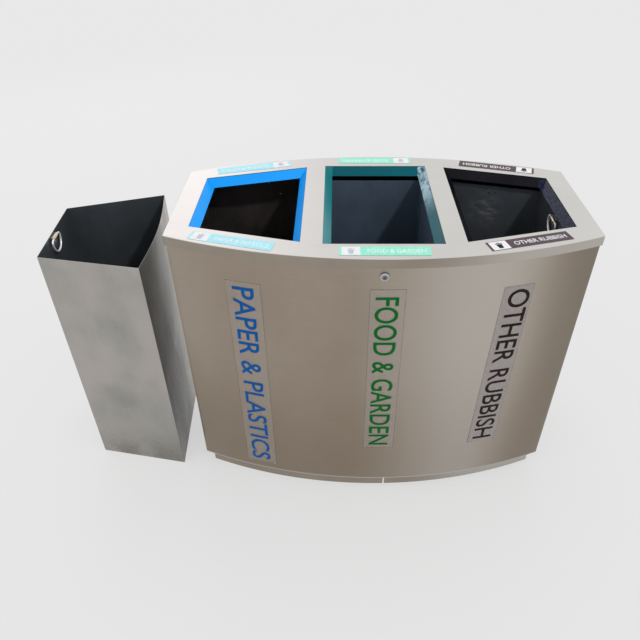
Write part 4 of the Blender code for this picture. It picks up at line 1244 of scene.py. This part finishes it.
def lock_plug():
    """The turning plug with its key slot."""
    low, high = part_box("lock_plug")
    face = low[1]
    body_low, body_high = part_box("lock_body")
    level = (body_low[2] + body_high[2]) / 2
    plug = bar("lock_plug_turned", (0, face, level), (0, high[1], level), 0.0060, sides=48)
    edit(plug)
    pick(plug, "EDGE", lambda e: all(vert.co.y < face + TOUCH for vert in e.verts))
    bpy.ops.mesh.bevel(offset=0.0007, segments=3)
    leave()
    cut(plug, block("slot", (-0.0009, face - 0.01, level - 0.0038), (0.0009, face + 0.006, level + 0.0038)))
    ease_edges(plug, 0.00015)
    smooth(plug)
    declare(plug, "lock_plug", "lock_chrome", LOCK_PLUG, "lock_plug")


def catch():
    """The bent tongue under the lid that the cam holds, and its two rivets."""
    softened("lid_catch", "lid", "stainless_panel", PLAIN_STEEL)
    low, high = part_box("lid_catch")
    middle = (low[0] + high[0]) / 2
    for number, out in enumerate((-0.0050, 0.0050), start=1):
        rivet = button_rivet("catch_rivet_%d" % number)
        seat = Matrix.Translation((middle + out, low[1] + 0.012, high[2] - 0.0020))
        rivet.data.transform(seat @ Matrix.Rotation(math.pi, 4, "X"))
        declare(rivet, "lid", "zinc_fitting", ZINC)


def hinges():
    """Two hinges behind: bracket, arm and pin, with two bolts and two rivets each."""
    for side in ("left", "right"):
        softened("hinge_bracket_" + side, "cabinet", "stainless_panel", PLAIN_STEEL, 0.0005)
        softened("hinge_arm_" + side, "lid", "stainless_panel", PLAIN_STEEL, 0.0005)
        softened("hinge_pin_" + side, "cabinet", "bright_wire", WIRE_STEEL, 0.0005)
        for number in (1, 2):
            softened("hinge_bolt_%s_%d" % (side, number), "cabinet", "zinc_fitting", ZINC, 0.0003)
            softened("hinge_rivet_%s_%d" % (side, number), "lid", "bright_wire", WIRE_STEEL, 0.0002)


# ------------------------------------------------------------------ camera, floor and light

def camera():
    """Held at a standing adult's eye height, a little left of the middle, looking down."""
    data = bpy.data.cameras.new("view")
    data.sensor_width = 36.0
    data.lens = 33.975
    data.shift_x = -0.0187
    data.shift_y = 0.0105
    made = bpy.data.objects.new("view", data)
    bpy.context.collection.objects.link(made)
    heading = 0.0094
    pitch = math.radians(38.246)
    roll = -0.004
    turn = (Matrix.Rotation(heading, 4, "Z") @ Matrix.Rotation(math.pi / 2 - pitch, 4, "X")
            @ Matrix.Rotation(roll, 4, "Z"))
    made.matrix_world = Matrix.Translation((-0.1156, -1.5064, 1.6197)) @ turn
    bpy.context.scene.camera = made


def soft_light(name, place, target, size, power, colour, receivers=None):
    """A rectangular light. With receivers, it falls on those pieces only."""
    data = bpy.data.lights.new(name, "AREA")
    data.shape = "RECTANGLE"
    data.size, data.size_y = size
    data.energy = power
    data.color = colour
    made = bpy.data.objects.new(name, data)
    bpy.context.collection.objects.link(made)
    way = Vector(target) - Vector(place)
    made.matrix_world = Matrix.Translation(place) @ way.to_track_quat("-Z", "Y").to_matrix().to_4x4()
    if receivers:
        group = bpy.data.collections.new(name + "_receivers")
        for obj in receivers:
            group.objects.link(obj)
        made.light_linking.receiver_collection = group


def studio():
    """A plain pale floor, an even pale sky, a window behind and a small light for the inner walls."""
    bpy.ops.mesh.primitive_plane_add(size=60.0, location=(0, 0, 0))
    floor = bpy.context.object
    floor.name = "studio_floor"
    matt = Finish("studio_floor", (0.27, 0.27, 0.27), 0.9, Specular_IOR_Level=0.0,
                  Emission_Color=(1.0, 1.0, 1.0, 1.0), Emission_Strength=0.545)
    floor.data.materials.append(matt.material)

    world = bpy.data.worlds.new("studio")
    bpy.context.scene.world = world
    world.use_nodes = True
    sky = world.node_tree.nodes["Background"]
    sky.inputs["Color"].default_value = (1.0, 1.0, 1.0, 1.0)
    sky.inputs["Strength"].default_value = 0.985
    soft_light("window", (-2.4, 3.9, 2.5), (-0.2, 0, 0.8), (3.2, 1.8), 11.0, (1.0, 0.98, 0.97))
    inner = [obj for obj in bpy.data.objects
             if obj.name.startswith(("liner_", "back_panel_sheet", "chute_walls_", "lifting_ring_"))]
    soft_light("overhead", (1.35, -1.35, 3.3), (0, 0.15, 0.75), (0.20, 0.20), 62.0, (1.0, 1.0, 1.0),
               inner)
    bpy.context.scene.view_settings.view_transform = "Standard"


camera()
curved_panels()
plinth()
cabinet_sheets()
lid()
chutes()
chute_nuts()
lid_labels()
front_films()
for compartment in COMPARTMENTS:
    liner(compartment)
    ring_and_bracket(compartment)
lock()
catch()
hinges()
studio()
